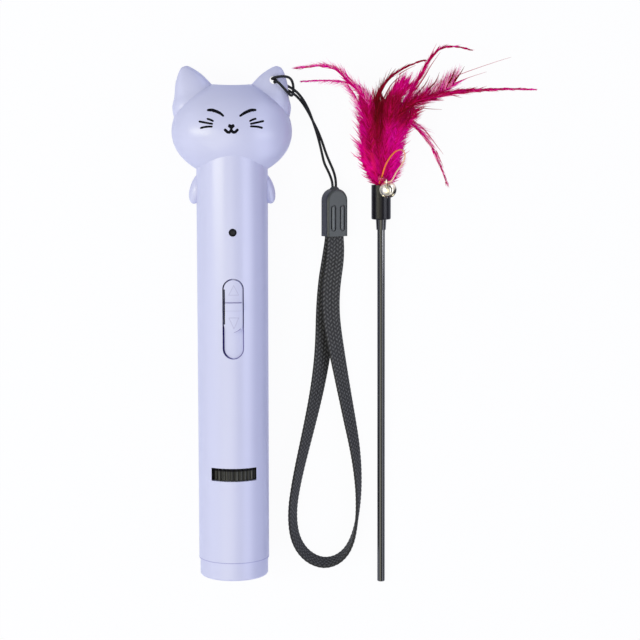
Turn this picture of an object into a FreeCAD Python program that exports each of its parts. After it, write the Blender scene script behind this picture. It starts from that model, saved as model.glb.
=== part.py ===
import FreeCAD, Part, Sketcher
import math
import os
import re
from FreeCAD import Placement, Rotation, Vector

# A hand-held cat toy lying on its back: a torch body with a cat's head, its wrist strap beside it, and
# a separate feather wand. The body's axis is Y, from the flat tail face at the origin towards the head.
# +Z is the front, where the face, the switch and the wheel are, and +X is the side where the strap lies.

doc = FreeCAD.newDocument("cat_toy")
sheet = doc.addObject("Spreadsheet::Sheet", "Sizes")

SIZES = [
    # body and end cap
    ("BodyRadius", 13.5, "outer radius of the torch body"),
    ("BodyWall", 2.0, "wall of both shells"),
    ("Fit", 0.1, "gap between pieces that seat in one another"),
    ("Running", 0.05, "radial gap of a shaft in its bearing"),
    ("CapLength", 6.6, "height of the end cap outside the body"),
    ("CapInset", 0.4, "step from the body's surface in to the end cap's"),
    ("CapRound", 0.9, "rounded rim of the tail face"),
    ("SpigotLength", 4.4, "how far the end cap reaches into the body"),
    # head
    ("HeadCentre", 170.2, "distance of the head's widest place from the tail face"),
    ("HeadHalfWidth", 22.7, "half the width of the head"),
    ("HeadUp", 18.8, "height of the head's upper half"),
    ("HeadDown", 17.2, "height of the head's lower half"),
    ("HeadFront", 15.6, "depth of the head's front half"),
    ("HeadBack", 13.0, "depth of the head's back half"),
    ("HeadWall", 2.2, "wall of the head"),
    ("DishRadius", 25.0, "radius of the hollow between the ears"),
    ("DishHalfWidth", 7.3, "half the width of the hollow at its rim"),
    # ears and arms
    ("EarTipSide", 17.85, "distance of an ear's tip from the middle"),
    ("EarTipHeight", 24.5, "height of the ears' tips above the head's centre"),
    ("EarLean", 20.0, "lean of an ear, in degrees"),
    ("EarFlatness", 0.6, "thickness of an ear as a share of its width"),
    ("EarHoleRadius", 1.5, "strap hole"),
    ("EarHoleSide", 15.7, "strap hole's distance from the middle"),
    ("EarHoleHeight", 19.4, "strap hole's height above the head's centre"),
    ("ArmLength", 6.4, "half the length of an arm"),
    ("ArmWidth", 3.0, "half the width of an arm"),
    ("ArmDepth", 2.8, "half the depth of an arm"),
    ("ArmLean", 20.0, "lean of an arm, in degrees"),
    ("ArmSide", 12.8, "distance of an arm from the middle"),
    ("ArmDrop", 20.9, "how far the arms lie below the head's centre"),
    # switch
    ("SlotCentre", 100.6, "middle of the switch slot"),
    ("SlotLength", 30.4, "length of the switch slot"),
    ("SlotWidth", 8.0, "width of the switch slot"),
    ("SlotDepth", 1.2, "depth of the switch slot"),
    ("ButtonLength", 20.0, "length of the button"),
    ("ButtonGap", 0.5, "gap round the button in its slot"),
    ("ButtonProud", 0.1, "how far the button stands above the body"),
    ("RibThickness", 2.8, "length of the finger rib along the button"),
    ("RibProud", 1.0, "how far the finger rib stands above the body"),
    ("StemLength", 4.0, "length of the button's stem along the slot"),
    ("StemWidth", 3.0, "width of the button's stem"),
    ("StemOffset", 3.8, "how far the stem lies above the button's middle"),
    ("LeverLength", 2.4, "length of the switch lever"),
    ("LeverWidth", 1.6, "width of the switch lever"),
    ("SwitchLength", 23.0, "length of the switch body"),
    ("SwitchWidth", 7.0, "width of the switch body"),
    ("SwitchHeight", 3.5, "height of the switch body"),
    # indicator
    ("LedPlace", 133.0, "distance of the indicator lamp from the tail face"),
    ("LedRadius", 1.45, "radius of the indicator lamp"),
    ("LedLength", 5.2, "length of the indicator lamp's lens"),
    # pattern wheel
    ("WheelPlace", 41.2, "middle of the wheel along the body"),
    ("WheelHeight", 2.9, "height of the wheel's axis"),
    ("WheelWidth", 4.4, "width of the wheel"),
    ("WheelSunk", 0.2, "how far the wheel's ribs lie below the body's surface"),
    ("WheelWeb", 1.2, "thickness of the wheel's web"),
    ("WheelRim", 1.6, "thickness of the wheel's rim"),
    ("WheelRibs", 38, "number of ribs round the wheel"),
    ("WheelRibRadius", 0.62, "radius of one rib"),
    ("PatternCount", 5, "number of picture holes"),
    ("PatternRadius", 2.1, "radius of a picture hole"),
    ("FilmThickness", 0.3, "thickness of the picture film"),
    ("HubRadius", 2.0, "radius of the wheel's hub"),
    ("BearingRadius", 2.5, "radius of the frame's bearings beside the wheel"),
    ("WindowLength", 5.0, "window in the body, along the body"),
    ("WindowWidth", 17.0, "window in the body, across"),
    ("WheelClear", 0.5, "clearance round the wheel"),
    ("SpindleRadius", 1.0, "radius of the wheel's spindle"),
    ("SpringThickness", 0.35, "thickness of the detent spring"),
    ("SpringWidth", 3.0, "width of the detent spring"),
    ("SpringFoot", 4.0, "distance of the detent spring's foot from the wheel's axis"),
    ("SpringInset", 0.8, "how far the detent spring's tip stays inside the wheel's ribs"),
    # optics
    ("OpticGap", 0.6, "gap from the lens tube to the inner frame's wall"),
    ("TubeRadius", 6.6, "outer radius of the lens tube"),
    ("TubeWall", 1.0, "wall of the lens tube"),
    ("WindowDisc", 1.5, "thickness of the clear disc in the tail"),
    ("ApertureRadius", 5.2, "light opening in the tail face"),
    ("LipThickness", 0.9, "lip that holds the clear disc"),
    ("LensPlace", 17.0, "low face of the projection lens"),
    ("LensThickness", 3.6, "thickness of the projection lens"),
    ("LensCurve", 14.0, "radius of the projection lens's faces"),
    ("ModuleRadius", 6.0, "radius of the light module"),
    ("ModuleLength", 15.0, "length of the light module"),
    ("ModuleBore", 3.2, "bore of the light module"),
    ("EmitterThickness", 1.2, "thickness of the emitter board"),
    # inner frame
    ("FrameWall", 1.2, "wall of the inner frame's trough"),
    ("CellGap", 0.6, "gap from the battery cell up to the main board"),
    ("FrameStart", 14.0, "low end of the inner frame"),
    ("FrameGap", 1.8, "gap from the inner frame to the middle screw's post"),
    ("PlateThickness", 1.6, "thickness of the frame's cross plates"),
    ("PlateMargin", 1.0, "how far the cross plates reach above the wheel's bearings"),
    ("PlateGap", 1.8, "gap from the wheel to a cross plate"),
    # battery, board and socket
    ("BatteryRadius", 5.25, "radius of the battery cell"),
    ("BatteryLength", 44.0, "length of the battery cell"),
    ("BatteryPlace", 77.0, "low end of the battery cell"),
    ("BoardStart", 80.0, "low end of the main board"),
    ("BoardLength", 58.0, "length of the main board"),
    ("BoardMargin", 1.0, "gap from the main board's edges to the widest place of the bore"),
    ("BoardThickness", 1.2, "thickness of the main board"),
    ("LeadDiameter", 1.0, "insulated lead"),
    ("LeadSide", 2.4, "distance of a lead's ends from the middle"),
    ("LeadSpread", 4.8, "distance of the emitter's leads from the middle where they pass the cell"),
    ("UsbInset", 9.5, "distance of the charging socket's middle from the board's high end"),
    ("UsbWidth", 9.0, "width of the charging socket"),
    ("UsbHeight", 3.2, "height of the charging socket"),
    ("UsbDepth", 7.4, "depth of the charging socket"),
    ("UsbSetback", 1.2, "how far the socket's mouth lies inside the body"),
    # screws
    ("ScrewRadius", 1.1, "radius of a case screw's shank"),
    ("ScrewHead", 2.1, "radius of a case screw's head"),
    ("ScrewHeadHeight", 1.5, "height of a case screw's head"),
    ("ScrewLength", 15.0, "length of a case screw's shank"),
    ("ScrewSink", 2.4, "how deep the screw heads lie in the back"),
    ("PostRadius", 3.2, "radius of a screw post"),
    ("PostJoint", 1.0, "height where the front and rear posts meet"),
    ("ScrewLow", 71.0, "place of the lowest screw"),
    ("ScrewMiddle", 146.0, "place of the middle screw"),
    # wand socket in the head
    ("SocketBore", 1.55, "bore for the wand's rod"),
    ("SocketDepth", 14.0, "depth of the bore"),
    ("SocketRadius", 3.0, "radius of the socket's stem"),
    ("SocketFlange", 4.6, "radius of the socket's flange"),
    ("SocketFlangeHeight", 1.0, "thickness of the socket's flange"),
    ("SocketFloor", 1.5, "floor below the bore"),
    ("SocketBoss", 5.0, "radius of the boss that holds the socket"),
    # strap
    ("CordDiameter", 1.0, "strap cord"),
    ("WebWidth", 7.2, "width of the wrist webbing"),
    ("WebThickness", 1.3, "thickness of the wrist webbing"),
    ("FerruleWidth", 9.2, "width of the ferrule"),
    ("FerruleThickness", 5.8, "thickness of the ferrule"),
    ("FerruleLength", 18.3, "length of the ferrule"),
    ("FerruleRound", 1.2, "rounding of the ferrule's long edges"),
    ("FerruleNub", 0.9, "how far the ferrule's cord collar stands above its arch"),
    ("GripLength", 10.2, "length of a grip's groove"),
    ("GripWidth", 2.3, "width of a grip's groove over all"),
    ("GripLine", 0.5, "width and depth of the groove's line"),
    ("GripSide", 1.95, "distance of a grip from the ferrule's middle"),
    ("GripPlace", 7.0, "middle of the grips above the ferrule's low end"),
    ("FerruleRoll", 25.0, "roll of the ferrule on the table, in degrees"),
    ("FerruleSide", 39.4, "distance of the ferrule from the body's axis"),
    ("FerrulePlace", 130.2, "low end of the ferrule"),
    ("FerruleMouth", 3.4, "thickness of the ferrule's mouth"),
    ("FerruleMouthDepth", 5.0, "depth of the ferrule's mouth"),
    # wand
    ("RodRadius", 1.5, "radius of the wand's rod"),
    ("RodLength", 150.0, "length of the wand's rod"),
    ("RodChamfer", 0.2, "chamfer of the rod's free end"),
    ("RodTang", 1.2, "radius of the rod's stepped end in the collar and the sleeve"),
    ("CollarPlace", 139.9, "distance of the collar from the rod's free end"),
    ("RodEnd", -7.3, "place of the rod's free end"),
    ("WandSide", 58.3, "distance of the rod's free end from the body's axis"),
    ("WandYaw", 0.3, "turn of the wand towards the body, in degrees"),
    ("SleeveRadius", 3.75, "radius of the wand's sleeve"),
    ("SleeveLength", 13.3, "length of the wand's sleeve"),
    ("SleeveMouth", 2.9, "radius of the sleeve's open end"),
    ("SleeveMouthDepth", 4.5, "depth of the sleeve's open end"),
    ("CollarRadius", 2.05, "radius of the collar's high end"),
    ("CollarTaper", 0.2, "how much smaller the collar's low end is"),
    ("SleeveRound", 0.5, "rounding of the sleeve's low rim"),
    ("CollarLength", 3.9, "length of the wand's collar"),
    ("BellRadius", 3.25, "radius of the bell"),
    ("BellGap", 0.3, "gap from the bell to the sleeve"),
    ("BellWall", 0.4, "wall of the bell"),
    ("BellSlot", 0.9, "width of the bell's slot"),
    ("BellSide", 2.0, "how far the bell lies beside the sleeve's middle"),
    ("BellDrop", 1.5, "how far the bell lies below the sleeve's mouth"),
    ("PelletRadius", 1.0, "radius of the bell's pellet"),
    ("EyeRadius", 0.9, "radius of the bell's eye"),
    ("EyeWire", 0.3, "radius of the bell's eye wire"),
    ("BeadRadius", 1.3, "radius of the bead"),
    ("ThreadDiameter", 0.6, "thread loop"),
]

# Sizes that follow from the ones above.
DERIVED = [
    ("CapRadius", "=BodyRadius - CapInset", "outer radius of the end cap"),
    ("ShellBore", "=BodyRadius - BodyWall", "inner radius of both shells"),
    ("FrameRadius", "=ShellBore - Fit", "outer radius of the inner frame"),
    ("FrameBore", "=FrameRadius - FrameWall", "inner radius of the inner frame"),
    ("ButtonTravel", "=SlotLength - ButtonLength - 2 * ButtonGap", "how far the button slides"),
    ("WheelRadius", "=BodyRadius - WheelSunk - WheelHeight", "radius over the wheel's ribs"),
    ("SpringReach", "=WheelRadius - SpringInset - SpringFoot", "length of the detent spring across the wheel"),
    ("OpticDrop", "=FrameBore - TubeRadius - OpticGap", "how far the light path lies below the axis"),
    ("PlateTop", "=WheelHeight + BearingRadius + PlateMargin", "height of the cross plates"),
    ("CellHeight", "=BatteryRadius + Fit - FrameBore", "height of the battery cell's axis"),
    ("FrameTop", "=CellHeight + BatteryRadius + CellGap", "height of the trough's edges, where the board lies"),
    ("FrameEnd", "=ScrewMiddle - PostRadius - FrameGap", "high end of the inner frame"),
    ("BoardTop", "=FrameTop + BoardThickness", "upper face of the main board"),
    ("BoardWidth", "=2 * (ShellBore - BoardMargin)", "width of the main board"),
    ("UsbPlace", "=BoardStart + BoardLength - UsbInset", "middle of the charging socket along the body"),
]

for row, (alias, entry, meaning) in enumerate(SIZES + DERIVED, 1):
    sheet.set(f"A{row}", meaning)
    sheet.set(f"B{row}", str(entry))
    sheet.setAlias(f"B{row}", alias)
doc.recompute()

NAMES = re.compile(r"\b(" + "|".join(alias for alias, _, _ in SIZES + DERIVED) + r")\b")
TO_Y = Rotation(Vector(1, 0, 0), -90)
nodes = []


def size(alias):
    return float(sheet.get(alias))


def link(rule):
    """A rule on the sheet's aliases, as an expression of the document."""
    return NAMES.sub(r"Sizes.\1", rule)


def place(piece, at=("0", "0", "0"), turn=Rotation()):
    piece.Placement = Placement(Vector(), turn)
    for axis, rule in zip("xyz", at):
        if rule != "0":
            piece.setExpression(f"Placement.Base.{axis}", link(rule))
    return piece


def solid(kind, name, at=("0", "0", "0"), turn=Rotation(), **sizes):
    """One of Part's primitives, with its sizes and its place bound to the sheet."""
    piece = doc.addObject(f"Part::{kind}", name)
    for prop, rule in sizes.items():
        piece.setExpression(prop, link(rule))
    return place(piece, at, turn)


def rod(name, radius, low, high, side="0", height="0"):
    """A cylinder along the body, from one rule to another."""
    return solid(
        "Cylinder", name, (side, low, height), TO_Y, Radius=radius, Height=f"{high} - ({low})"
    )


def block(name, wide, low, high, bottom, top, side="0"):
    """A box that is centred on a rule across, and spans two rules along and two up."""
    return solid(
        "Box", name, (f"{side} - ({wide}) / 2", low, bottom),
        Length=wide, Width=f"{high} - ({low})", Height=f"{top} - ({bottom})",
    )


def fuse(name, *pieces):
    whole = doc.addObject("Part::MultiFuse", name)
    whole.Shapes = list(pieces)
    return whole


def common(name, *pieces):
    whole = doc.addObject("Part::MultiCommon", name)
    whole.Shapes = list(pieces)
    return whole


def cut(name, base, *tools):
    rest = doc.addObject("Part::Cut", name)
    rest.Base = base
    rest.Tool = tools[0] if len(tools) == 1 else fuse(f"{name}_tools", *tools)
    return rest


def feature(name, shape, placement=Placement()):
    piece = doc.addObject("Part::Feature", name)
    piece.Shape = shape
    piece.Placement = placement
    return piece


def node(name, piece):
    """Names a finished sub-part, so that it is written to a file of its own."""
    piece.Label = name
    nodes.append(piece)
    return piece


def stadium(name, middle, length, width, bottom, top, side="0"):
    """A slot shape with round ends, along the body and upright."""
    flat = f"({length} - ({width}))"
    upright = f"{top} - ({bottom})"
    ends = [
        solid(
            "Cylinder", f"{name}_end_{label}", (side, f"{middle} {sign} {flat} / 2", bottom),
            Radius=f"({width}) / 2", Height=upright,
        )
        for label, sign in (("low", "-"), ("high", "+"))
    ]
    bar = block(
        f"{name}_bar", width, f"{middle} - {flat} / 2", f"{middle} + {flat} / 2", bottom, top, side
    )
    return fuse(name, bar, *ends)


def rounded(name, base, numbers, radius, kind="Fillet"):
    smooth = doc.addObject(f"Part::{kind}", name)
    smooth.Base = base
    smooth.Edges = [(number, radius, radius) for number in numbers]
    doc.recompute()
    return smooth


def low_rim(bar):
    """The number of the edge round a bar's low end."""
    edges = bar.Shape.Edges
    return 1 + min(range(len(edges)), key=lambda number: edges[number].CenterOfMass.y)


# Rules that several pieces share.
SLOT_FLOOR = "(BodyRadius - SlotDepth)"
BUTTON_MIDDLE = "(SlotCentre + SlotLength / 2 - ButtonGap - ButtonLength / 2)"
STEM_PLACE = f"({BUTTON_MIDDLE} + StemOffset)"
DISH_CENTRE = "(HeadCentre + HeadUp * sqrt(1 - (DishHalfWidth / HeadHalfWidth)^2)" \
    " + sqrt(DishRadius^2 - DishHalfWidth^2))"
DISH_FLOOR = f"({DISH_CENTRE} - DishRadius)"
SOCKET_LOW = f"({DISH_FLOOR} - SocketDepth - SocketFloor)"
SPIGOT_RADIUS = "(ShellBore - Fit)"
SPIGOT_TOP = "(CapLength + SpigotLength)"
TUBE_LOW = "(LipThickness + WindowDisc)"
WHEEL_LOW = "(WheelPlace - WheelWidth / 2)"
WHEEL_HIGH = "(WheelPlace + WheelWidth / 2)"
LENS_AXIS = "-OpticDrop"
LOW_PLATE_TOP = f"({WHEEL_LOW} - PlateGap)"
HIGH_PLATE_LOW = f"({WHEEL_HIGH} + PlateGap)"
MODULE_LOW = f"({HIGH_PLATE_LOW} + PlateThickness)"
SCREWS = (("low", "ScrewLow"), ("middle", "ScrewMiddle"), ("head", "HeadCentre - 2 * ScrewHead"))
SCREW_SEAT = "(-BodyRadius + ScrewSink + ScrewHeadHeight)"


def loft(name, rings, turn=TO_Y):
    """A smooth solid through ellipses, each given by the rules for its place, half width and half depth."""
    sections = [
        solid("Ellipse", f"{name}_ring_{number}", at, turn, MajorRadius=wide, MinorRadius=deep)
        for number, (at, wide, deep) in enumerate(rings, 1)
    ]
    skin = doc.addObject("Part::Loft", name)
    skin.Sections = sections
    skin.Solid = True
    return skin


# Ears and arms.
EAR_STATIONS = (
    (0.1, 0.7), (0.45, 1.45), (1.4, 2.5), (3.1, 3.9), (5.9, 5.7), (9.8, 7.5), (16.0, 10.1), (21.5, 12.2),
)


def ear(name, side):
    """A flattened cone with a rounded tip, from its tip down into the head."""
    rings = [
        (
            (
                f"{side} * (EarTipSide - {depth} * sin(EarLean))",
                f"HeadCentre + EarTipHeight - {depth} * cos(EarLean)", "0",
            ),
            str(half), f"{half} * EarFlatness",
        )
        for depth, half in EAR_STATIONS
    ]
    return loft(name, rings, Rotation(Vector(0, 0, 1), -side * size("EarLean")) * TO_Y)


def arm(name, side):
    return solid(
        "Ellipsoid", name, (f"{side} * ArmSide", "HeadCentre - ArmDrop", "0"),
        Rotation(Vector(0, 0, 1), side * size("ArmLean")),
        Radius1="ArmDepth", Radius2="ArmWidth", Radius3="ArmLength",
    )


# The two shells. Each is the outer form of its own side, hollowed, with the seats that it carries.
HEAD_ANGLES = (-76, -62, -46, -30, -15, 0, 15, 30, 45, 58, 71)
HOLLOW_ANGLES = HEAD_ANGLES[1:-2]


def egg(name, angles, wide, depth, up, down):
    """An egg shape about the head's centre, whose upper and lower halves have their own heights."""
    rings = [
        (
            ("0", f"HeadCentre + ({up if angle > 0 else down}) * sin({angle})", "0"),
            f"({wide}) * cos({angle})", f"({depth}) * cos({angle})",
        )
        for angle in angles
    ]
    return loft(name, rings)


def head(name, depth):
    return egg(name, HEAD_ANGLES, "HeadHalfWidth", depth, "HeadUp", "HeadDown")


def head_hollow(name, depth, wall="HeadWall"):
    return egg(
        name, HOLLOW_ANGLES, f"HeadHalfWidth - {wall}", f"{depth} - {wall}", f"HeadUp - {wall}",
        f"HeadDown - {wall}",
    )


def shell_body(side, depth, bottom, top):
    """One half of the hollow case, before its own openings and posts."""
    outer = fuse(
        f"{side}_outer",
        rod(f"{side}_barrel", "BodyRadius", "CapLength", "HeadCentre"),
        solid("Sphere", f"{side}_barrel_end", ("0", "HeadCentre", "0"), Radius="BodyRadius"),
        head(f"{side}_head", depth),
        ear(f"{side}_ear_left", -1), ear(f"{side}_ear_right", 1),
        arm(f"{side}_arm_left", -1), arm(f"{side}_arm_right", 1),
    )
    hollow = fuse(
        f"{side}_hollow",
        rod(f"{side}_bore", "ShellBore", "CapLength - 1", "HeadCentre - HeadDown / 2"),
        head_hollow(f"{side}_head_hollow", depth),
    )
    half = common(
        f"{side}_half",
        cut(f"{side}_hollowed", outer, hollow),
        block(f"{side}_side", "4 * HeadHalfWidth", "0", "2 * HeadCentre", bottom, top),
    )
    boss = common(
        f"{side}_socket_boss",
        rod(f"{side}_boss", "SocketBoss", SOCKET_LOW, "HeadCentre + HeadUp - HeadWall"),
        block(f"{side}_boss_side", "2 * SocketBoss", SOCKET_LOW, "2 * HeadCentre", bottom, top),
    )
    return fuse(f"{side}_with_boss", half, boss)


def head_openings(side):
    """What is cut from both shells where they meet: the hollow, the wand socket and the strap hole."""
    dish = common(
        f"{side}_dish",
        solid("Sphere", f"{side}_dish_ball", ("0", DISH_CENTRE, "0"), Radius="DishRadius"),
        rod(f"{side}_dish_room", "DishHalfWidth + 0.5", f"{DISH_FLOOR} - 1", "2 * HeadCentre"),
    )
    stem = rod(f"{side}_stem_seat", "SocketRadius + Fit / 2", SOCKET_LOW, "2 * HeadCentre")
    flange = rod(
        f"{side}_flange_seat", "SocketFlange + Fit / 2", f"{DISH_FLOOR} - SocketFlangeHeight",
        "2 * HeadCentre",
    )
    hole = solid(
        "Cylinder", f"{side}_strap_hole",
        ("EarHoleSide", "HeadCentre + EarHoleHeight", "-HeadBack"),
        Radius="EarHoleRadius", Height="HeadBack + HeadFront",
    )
    mouth = block(
        f"{side}_usb_mouth", "3 * BodyWall", "UsbPlace - UsbWidth / 2 - Fit",
        "UsbPlace + UsbWidth / 2 + Fit", "FrameTop - UsbHeight - Fit", "FrameTop + Fit",
        side="BodyRadius",
    )
    return [dish, stem, flange, hole, mouth]


def screw_posts(side, radius, low, high, only=("low", "middle", "head")):
    return [
        solid("Cylinder", f"{side}_{label}", ("0", at, low), Radius=radius, Height=f"{high} - ({low})")
        for label, at in SCREWS if label in only
    ]


front_posts = [
    common(
        "front_post_room",
        fuse("front_posts", *screw_posts("front_post", "PostRadius", "PostJoint", "BodyRadius")),
        fuse(
            "front_inside",
            rod("front_inside_barrel", "ShellBore + BodyWall / 2", "CapLength", "HeadCentre"),
            head_hollow("front_inside_head", "HeadFront", "HeadWall / 2"),
        ),
    )
]
slot = cut(
    "switch_slot",
    stadium("slot", "SlotCentre", "SlotLength", "SlotWidth", "BodyRadius / 2", "BodyRadius + 1"),
    rod("slot_floor", SLOT_FLOOR, "SlotCentre - SlotLength", "SlotCentre + SlotLength"),
)
stem_slot = block(
    "stem_slot", "StemWidth + 2 * ButtonGap", f"{STEM_PLACE} - ButtonTravel - StemLength / 2 - ButtonGap",
    f"{STEM_PLACE} + StemLength / 2 + ButtonGap", "BodyRadius / 2", "BodyRadius + 1",
)
led_hole = solid(
    "Cylinder", "led_hole", ("0", "LedPlace", "BodyRadius / 2"), Radius="LedRadius + Fit / 2",
    Height="BodyRadius",
)
wheel_window = block(
    "wheel_window", "WindowWidth", "WheelPlace - WindowLength / 2", "WheelPlace + WindowLength / 2",
    "BodyRadius / 2", "BodyRadius + 1",
)
front_wheel_room = rod(
    "front_wheel_room", "WheelRadius + WheelClear", f"{WHEEL_LOW} - Fit", f"{WHEEL_HIGH} + Fit",
    height="WheelHeight",
)
front_shell = node("front_shell", cut(
    "front_shell",
    fuse("front_with_posts", shell_body("front", "HeadFront", "0", "2 * HeadFront"), *front_posts),
    *head_openings("front"), slot, stem_slot, led_hole, wheel_window, front_wheel_room,
    *screw_posts("front_pilot", "ScrewRadius + Fit / 2", "0", f"{SCREW_SEAT} + ScrewLength + 1"),
))

rear_posts = common(
    "rear_post_room",
    fuse("rear_posts", *screw_posts("rear_post", "PostRadius", "-BodyRadius", "PostJoint")),
    rod("rear_inside", "ShellBore + BodyWall / 2", "CapLength", "HeadCentre + HeadUp / 2"),
)
rear_shell = node("rear_shell", cut(
    "rear_shell",
    fuse("rear_with_posts", shell_body("rear", "HeadBack", "-2 * HeadBack", "0"), rear_posts),
    *head_openings("rear"),
    *screw_posts("rear_clear", "ScrewRadius + Fit", "-BodyRadius - 1", "PostJoint + 1"),
    *screw_posts("rear_sink", "ScrewHead + Fit", "-BodyRadius - 1", SCREW_SEAT),
))


# End cap, with the clear disc that the light leaves through.
cap_puck = rod("cap_puck", "CapRadius", "0", "CapLength")
doc.recompute()
cap_rounded = rounded("cap_rounded", cap_puck, [low_rim(cap_puck)], size("CapRound"))
node("end_cap", cut(
    "end_cap",
    fuse("cap_with_spigot", cap_rounded, rod("cap_spigot", SPIGOT_RADIUS, "CapLength", SPIGOT_TOP)),
    rod("cap_aperture", "ApertureRadius", "-1", "CapLength", height=LENS_AXIS),
    rod("cap_tube_seat", "TubeRadius + Fit / 2", "LipThickness", f"{SPIGOT_TOP} + 1", height=LENS_AXIS),
))
node("lens_window", fuse(
    "lens_window",
    rod("window_disc", "TubeRadius - Fit / 2", "LipThickness", TUBE_LOW, height=LENS_AXIS),
    rod("window_face", "ApertureRadius - Fit / 2", "0", "LipThickness", height=LENS_AXIS),
))

# Lens tube, with a shoulder that the projection lens lies on, and the ring that keeps it there.
TUBE_HIGH = f"({LOW_PLATE_TOP} - PlateThickness)"
LENS_HIGH = "(LensPlace + LensThickness)"
node("lens_tube", cut(
    "lens_tube",
    rod("tube_outside", "TubeRadius", TUBE_LOW, TUBE_HIGH, height=LENS_AXIS),
    rod("tube_low_bore", "TubeRadius - 2 * TubeWall", f"{TUBE_LOW} - 1", "LensPlace", height=LENS_AXIS),
    rod("tube_high_bore", "TubeRadius - TubeWall", "LensPlace", f"{TUBE_HIGH} + 1", height=LENS_AXIS),
))
LENS_SAG = "(LensCurve - sqrt(LensCurve^2 - (TubeRadius - 2 * TubeWall)^2))"
node("projection_lens", common(
    "projection_lens",
    rod("lens_blank", "TubeRadius - TubeWall - Fit / 2", f"LensPlace - {LENS_SAG}", LENS_HIGH,
        height=LENS_AXIS),
    solid("Sphere", "lens_low_face", ("0", f"LensPlace - {LENS_SAG} + LensCurve", LENS_AXIS),
          Radius="LensCurve"),
    solid("Sphere", "lens_high_face", ("0", f"{LENS_HIGH} - LensCurve", LENS_AXIS), Radius="LensCurve"),
))
node("lens_ring", cut(
    "lens_ring",
    rod("lens_ring_outside", "TubeRadius - TubeWall - Fit / 2", f"{LENS_HIGH} - {LENS_SAG} + Fit / 2",
        f"{LENS_HIGH} + 2 * TubeWall", height=LENS_AXIS),
    rod("lens_ring_bore", "TubeRadius - 2 * TubeWall", "LensPlace", TUBE_HIGH, height=LENS_AXIS),
))

# Inner frame: a trough in the back shell, with the cross plates that carry the wheel and the optics.
def cross_plate(name, low, high):
    return common(
        name,
        rod(f"{name}_disc", "FrameRadius", low, high),
        block(f"{name}_limit", "2 * BodyRadius", low, high, "-BodyRadius", "PlateTop"),
    )


trough = common(
    "trough",
    cut(
        "trough_round", rod("trough_outside", "FrameRadius", "FrameStart", "FrameEnd"),
        rod("trough_inside", "FrameBore", "FrameStart - 1", "FrameEnd + 1"),
    ),
    block("trough_limit", "2 * BodyRadius", "FrameStart", "FrameEnd", "-BodyRadius", "FrameTop"),
)
battery_stops = [
    common(
        f"battery_stop_{label}",
        rod(f"battery_stop_{label}_disc", "FrameBore + FrameWall / 2", low, high),
        block(f"battery_stop_{label}_limit", "2 * BatteryRadius", low, high, "-BodyRadius", "0"),
    )
    for label, low, high in (
        ("low", "BatteryPlace - PlateThickness", "BatteryPlace"),
        ("high", "BatteryPlace + BatteryLength", "BatteryPlace + BatteryLength + PlateThickness"),
    )
]
module_cup = rod(
    "module_cup", "ModuleRadius + FrameWall", HIGH_PLATE_LOW, f"{MODULE_LOW} + ModuleLength / 2",
    height=LENS_AXIS,
)
cup_web = block(
    "cup_web", "ModuleRadius", HIGH_PLATE_LOW, f"{MODULE_LOW} + ModuleLength / 2",
    "-FrameBore - FrameWall / 2", f"{LENS_AXIS} - ModuleRadius",
)
bearings = [
    rod(f"bearing_{label}", "BearingRadius", low, high, height="WheelHeight")
    for label, low, high in (
        ("low", LOW_PLATE_TOP, f"{WHEEL_LOW} - 2 * Fit"), ("high", f"{WHEEL_HIGH} + 2 * Fit", HIGH_PLATE_LOW)
    )
]
node("inner_frame", cut(
    "inner_frame",
    fuse(
        "frame_solid", trough, *battery_stops, module_cup, cup_web, *bearings,
        cross_plate("low_plate", TUBE_HIGH, LOW_PLATE_TOP),
        cross_plate("high_plate", HIGH_PLATE_LOW, MODULE_LOW),
    ),
    rod("spindle_holes", "SpindleRadius + Running", "FrameStart", f"{MODULE_LOW} + 1", height="WheelHeight"),
    rod("light_hole", "ModuleBore", "FrameStart", "FrameEnd / 2", height=LENS_AXIS),
    rod("module_seat", "ModuleRadius + Fit / 2", MODULE_LOW, f"{MODULE_LOW} + ModuleLength", height=LENS_AXIS),
    rod("wheel_room", "WheelRadius + WheelClear", f"{WHEEL_LOW} - Fit", f"{WHEEL_HIGH} + Fit",
        height="WheelHeight"),
    solid("Cylinder", "post_room", ("0", "ScrewLow", "-BodyRadius"), Radius="PostRadius + 2 * Fit",
          Height="BodyRadius"),
    block("usb_room", "BodyRadius", "UsbPlace - UsbWidth / 2 - Fit", "UsbPlace + UsbWidth / 2 + Fit",
          "FrameTop - UsbHeight - Fit", "FrameTop + Fit", side="BodyRadius"),
))

# Light module, its lens and its emitter board.
node("light_module", cut(
    "light_module",
    rod("module_outside", "ModuleRadius", MODULE_LOW, f"{MODULE_LOW} + ModuleLength", height=LENS_AXIS),
    rod("module_bore", "ModuleBore", f"{MODULE_LOW} - 1", f"{MODULE_LOW} + ModuleLength + 1",
        height=LENS_AXIS),
))
node("collimating_lens", rod(
    "collimating_lens", "ModuleBore - Fit / 2", f"{MODULE_LOW} + LensThickness / 2",
    f"{MODULE_LOW} + LensThickness", height=LENS_AXIS,
))
node("emitter_board", fuse(
    "emitter_board",
    rod("emitter_disc", "ModuleRadius", f"{MODULE_LOW} + ModuleLength",
        f"{MODULE_LOW} + ModuleLength + EmitterThickness", height=LENS_AXIS),
    rod("emitter_can", "ModuleBore - 2 * Fit", f"{MODULE_LOW} + ModuleLength - LensThickness",
        f"{MODULE_LOW} + ModuleLength", height=LENS_AXIS),
))

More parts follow.
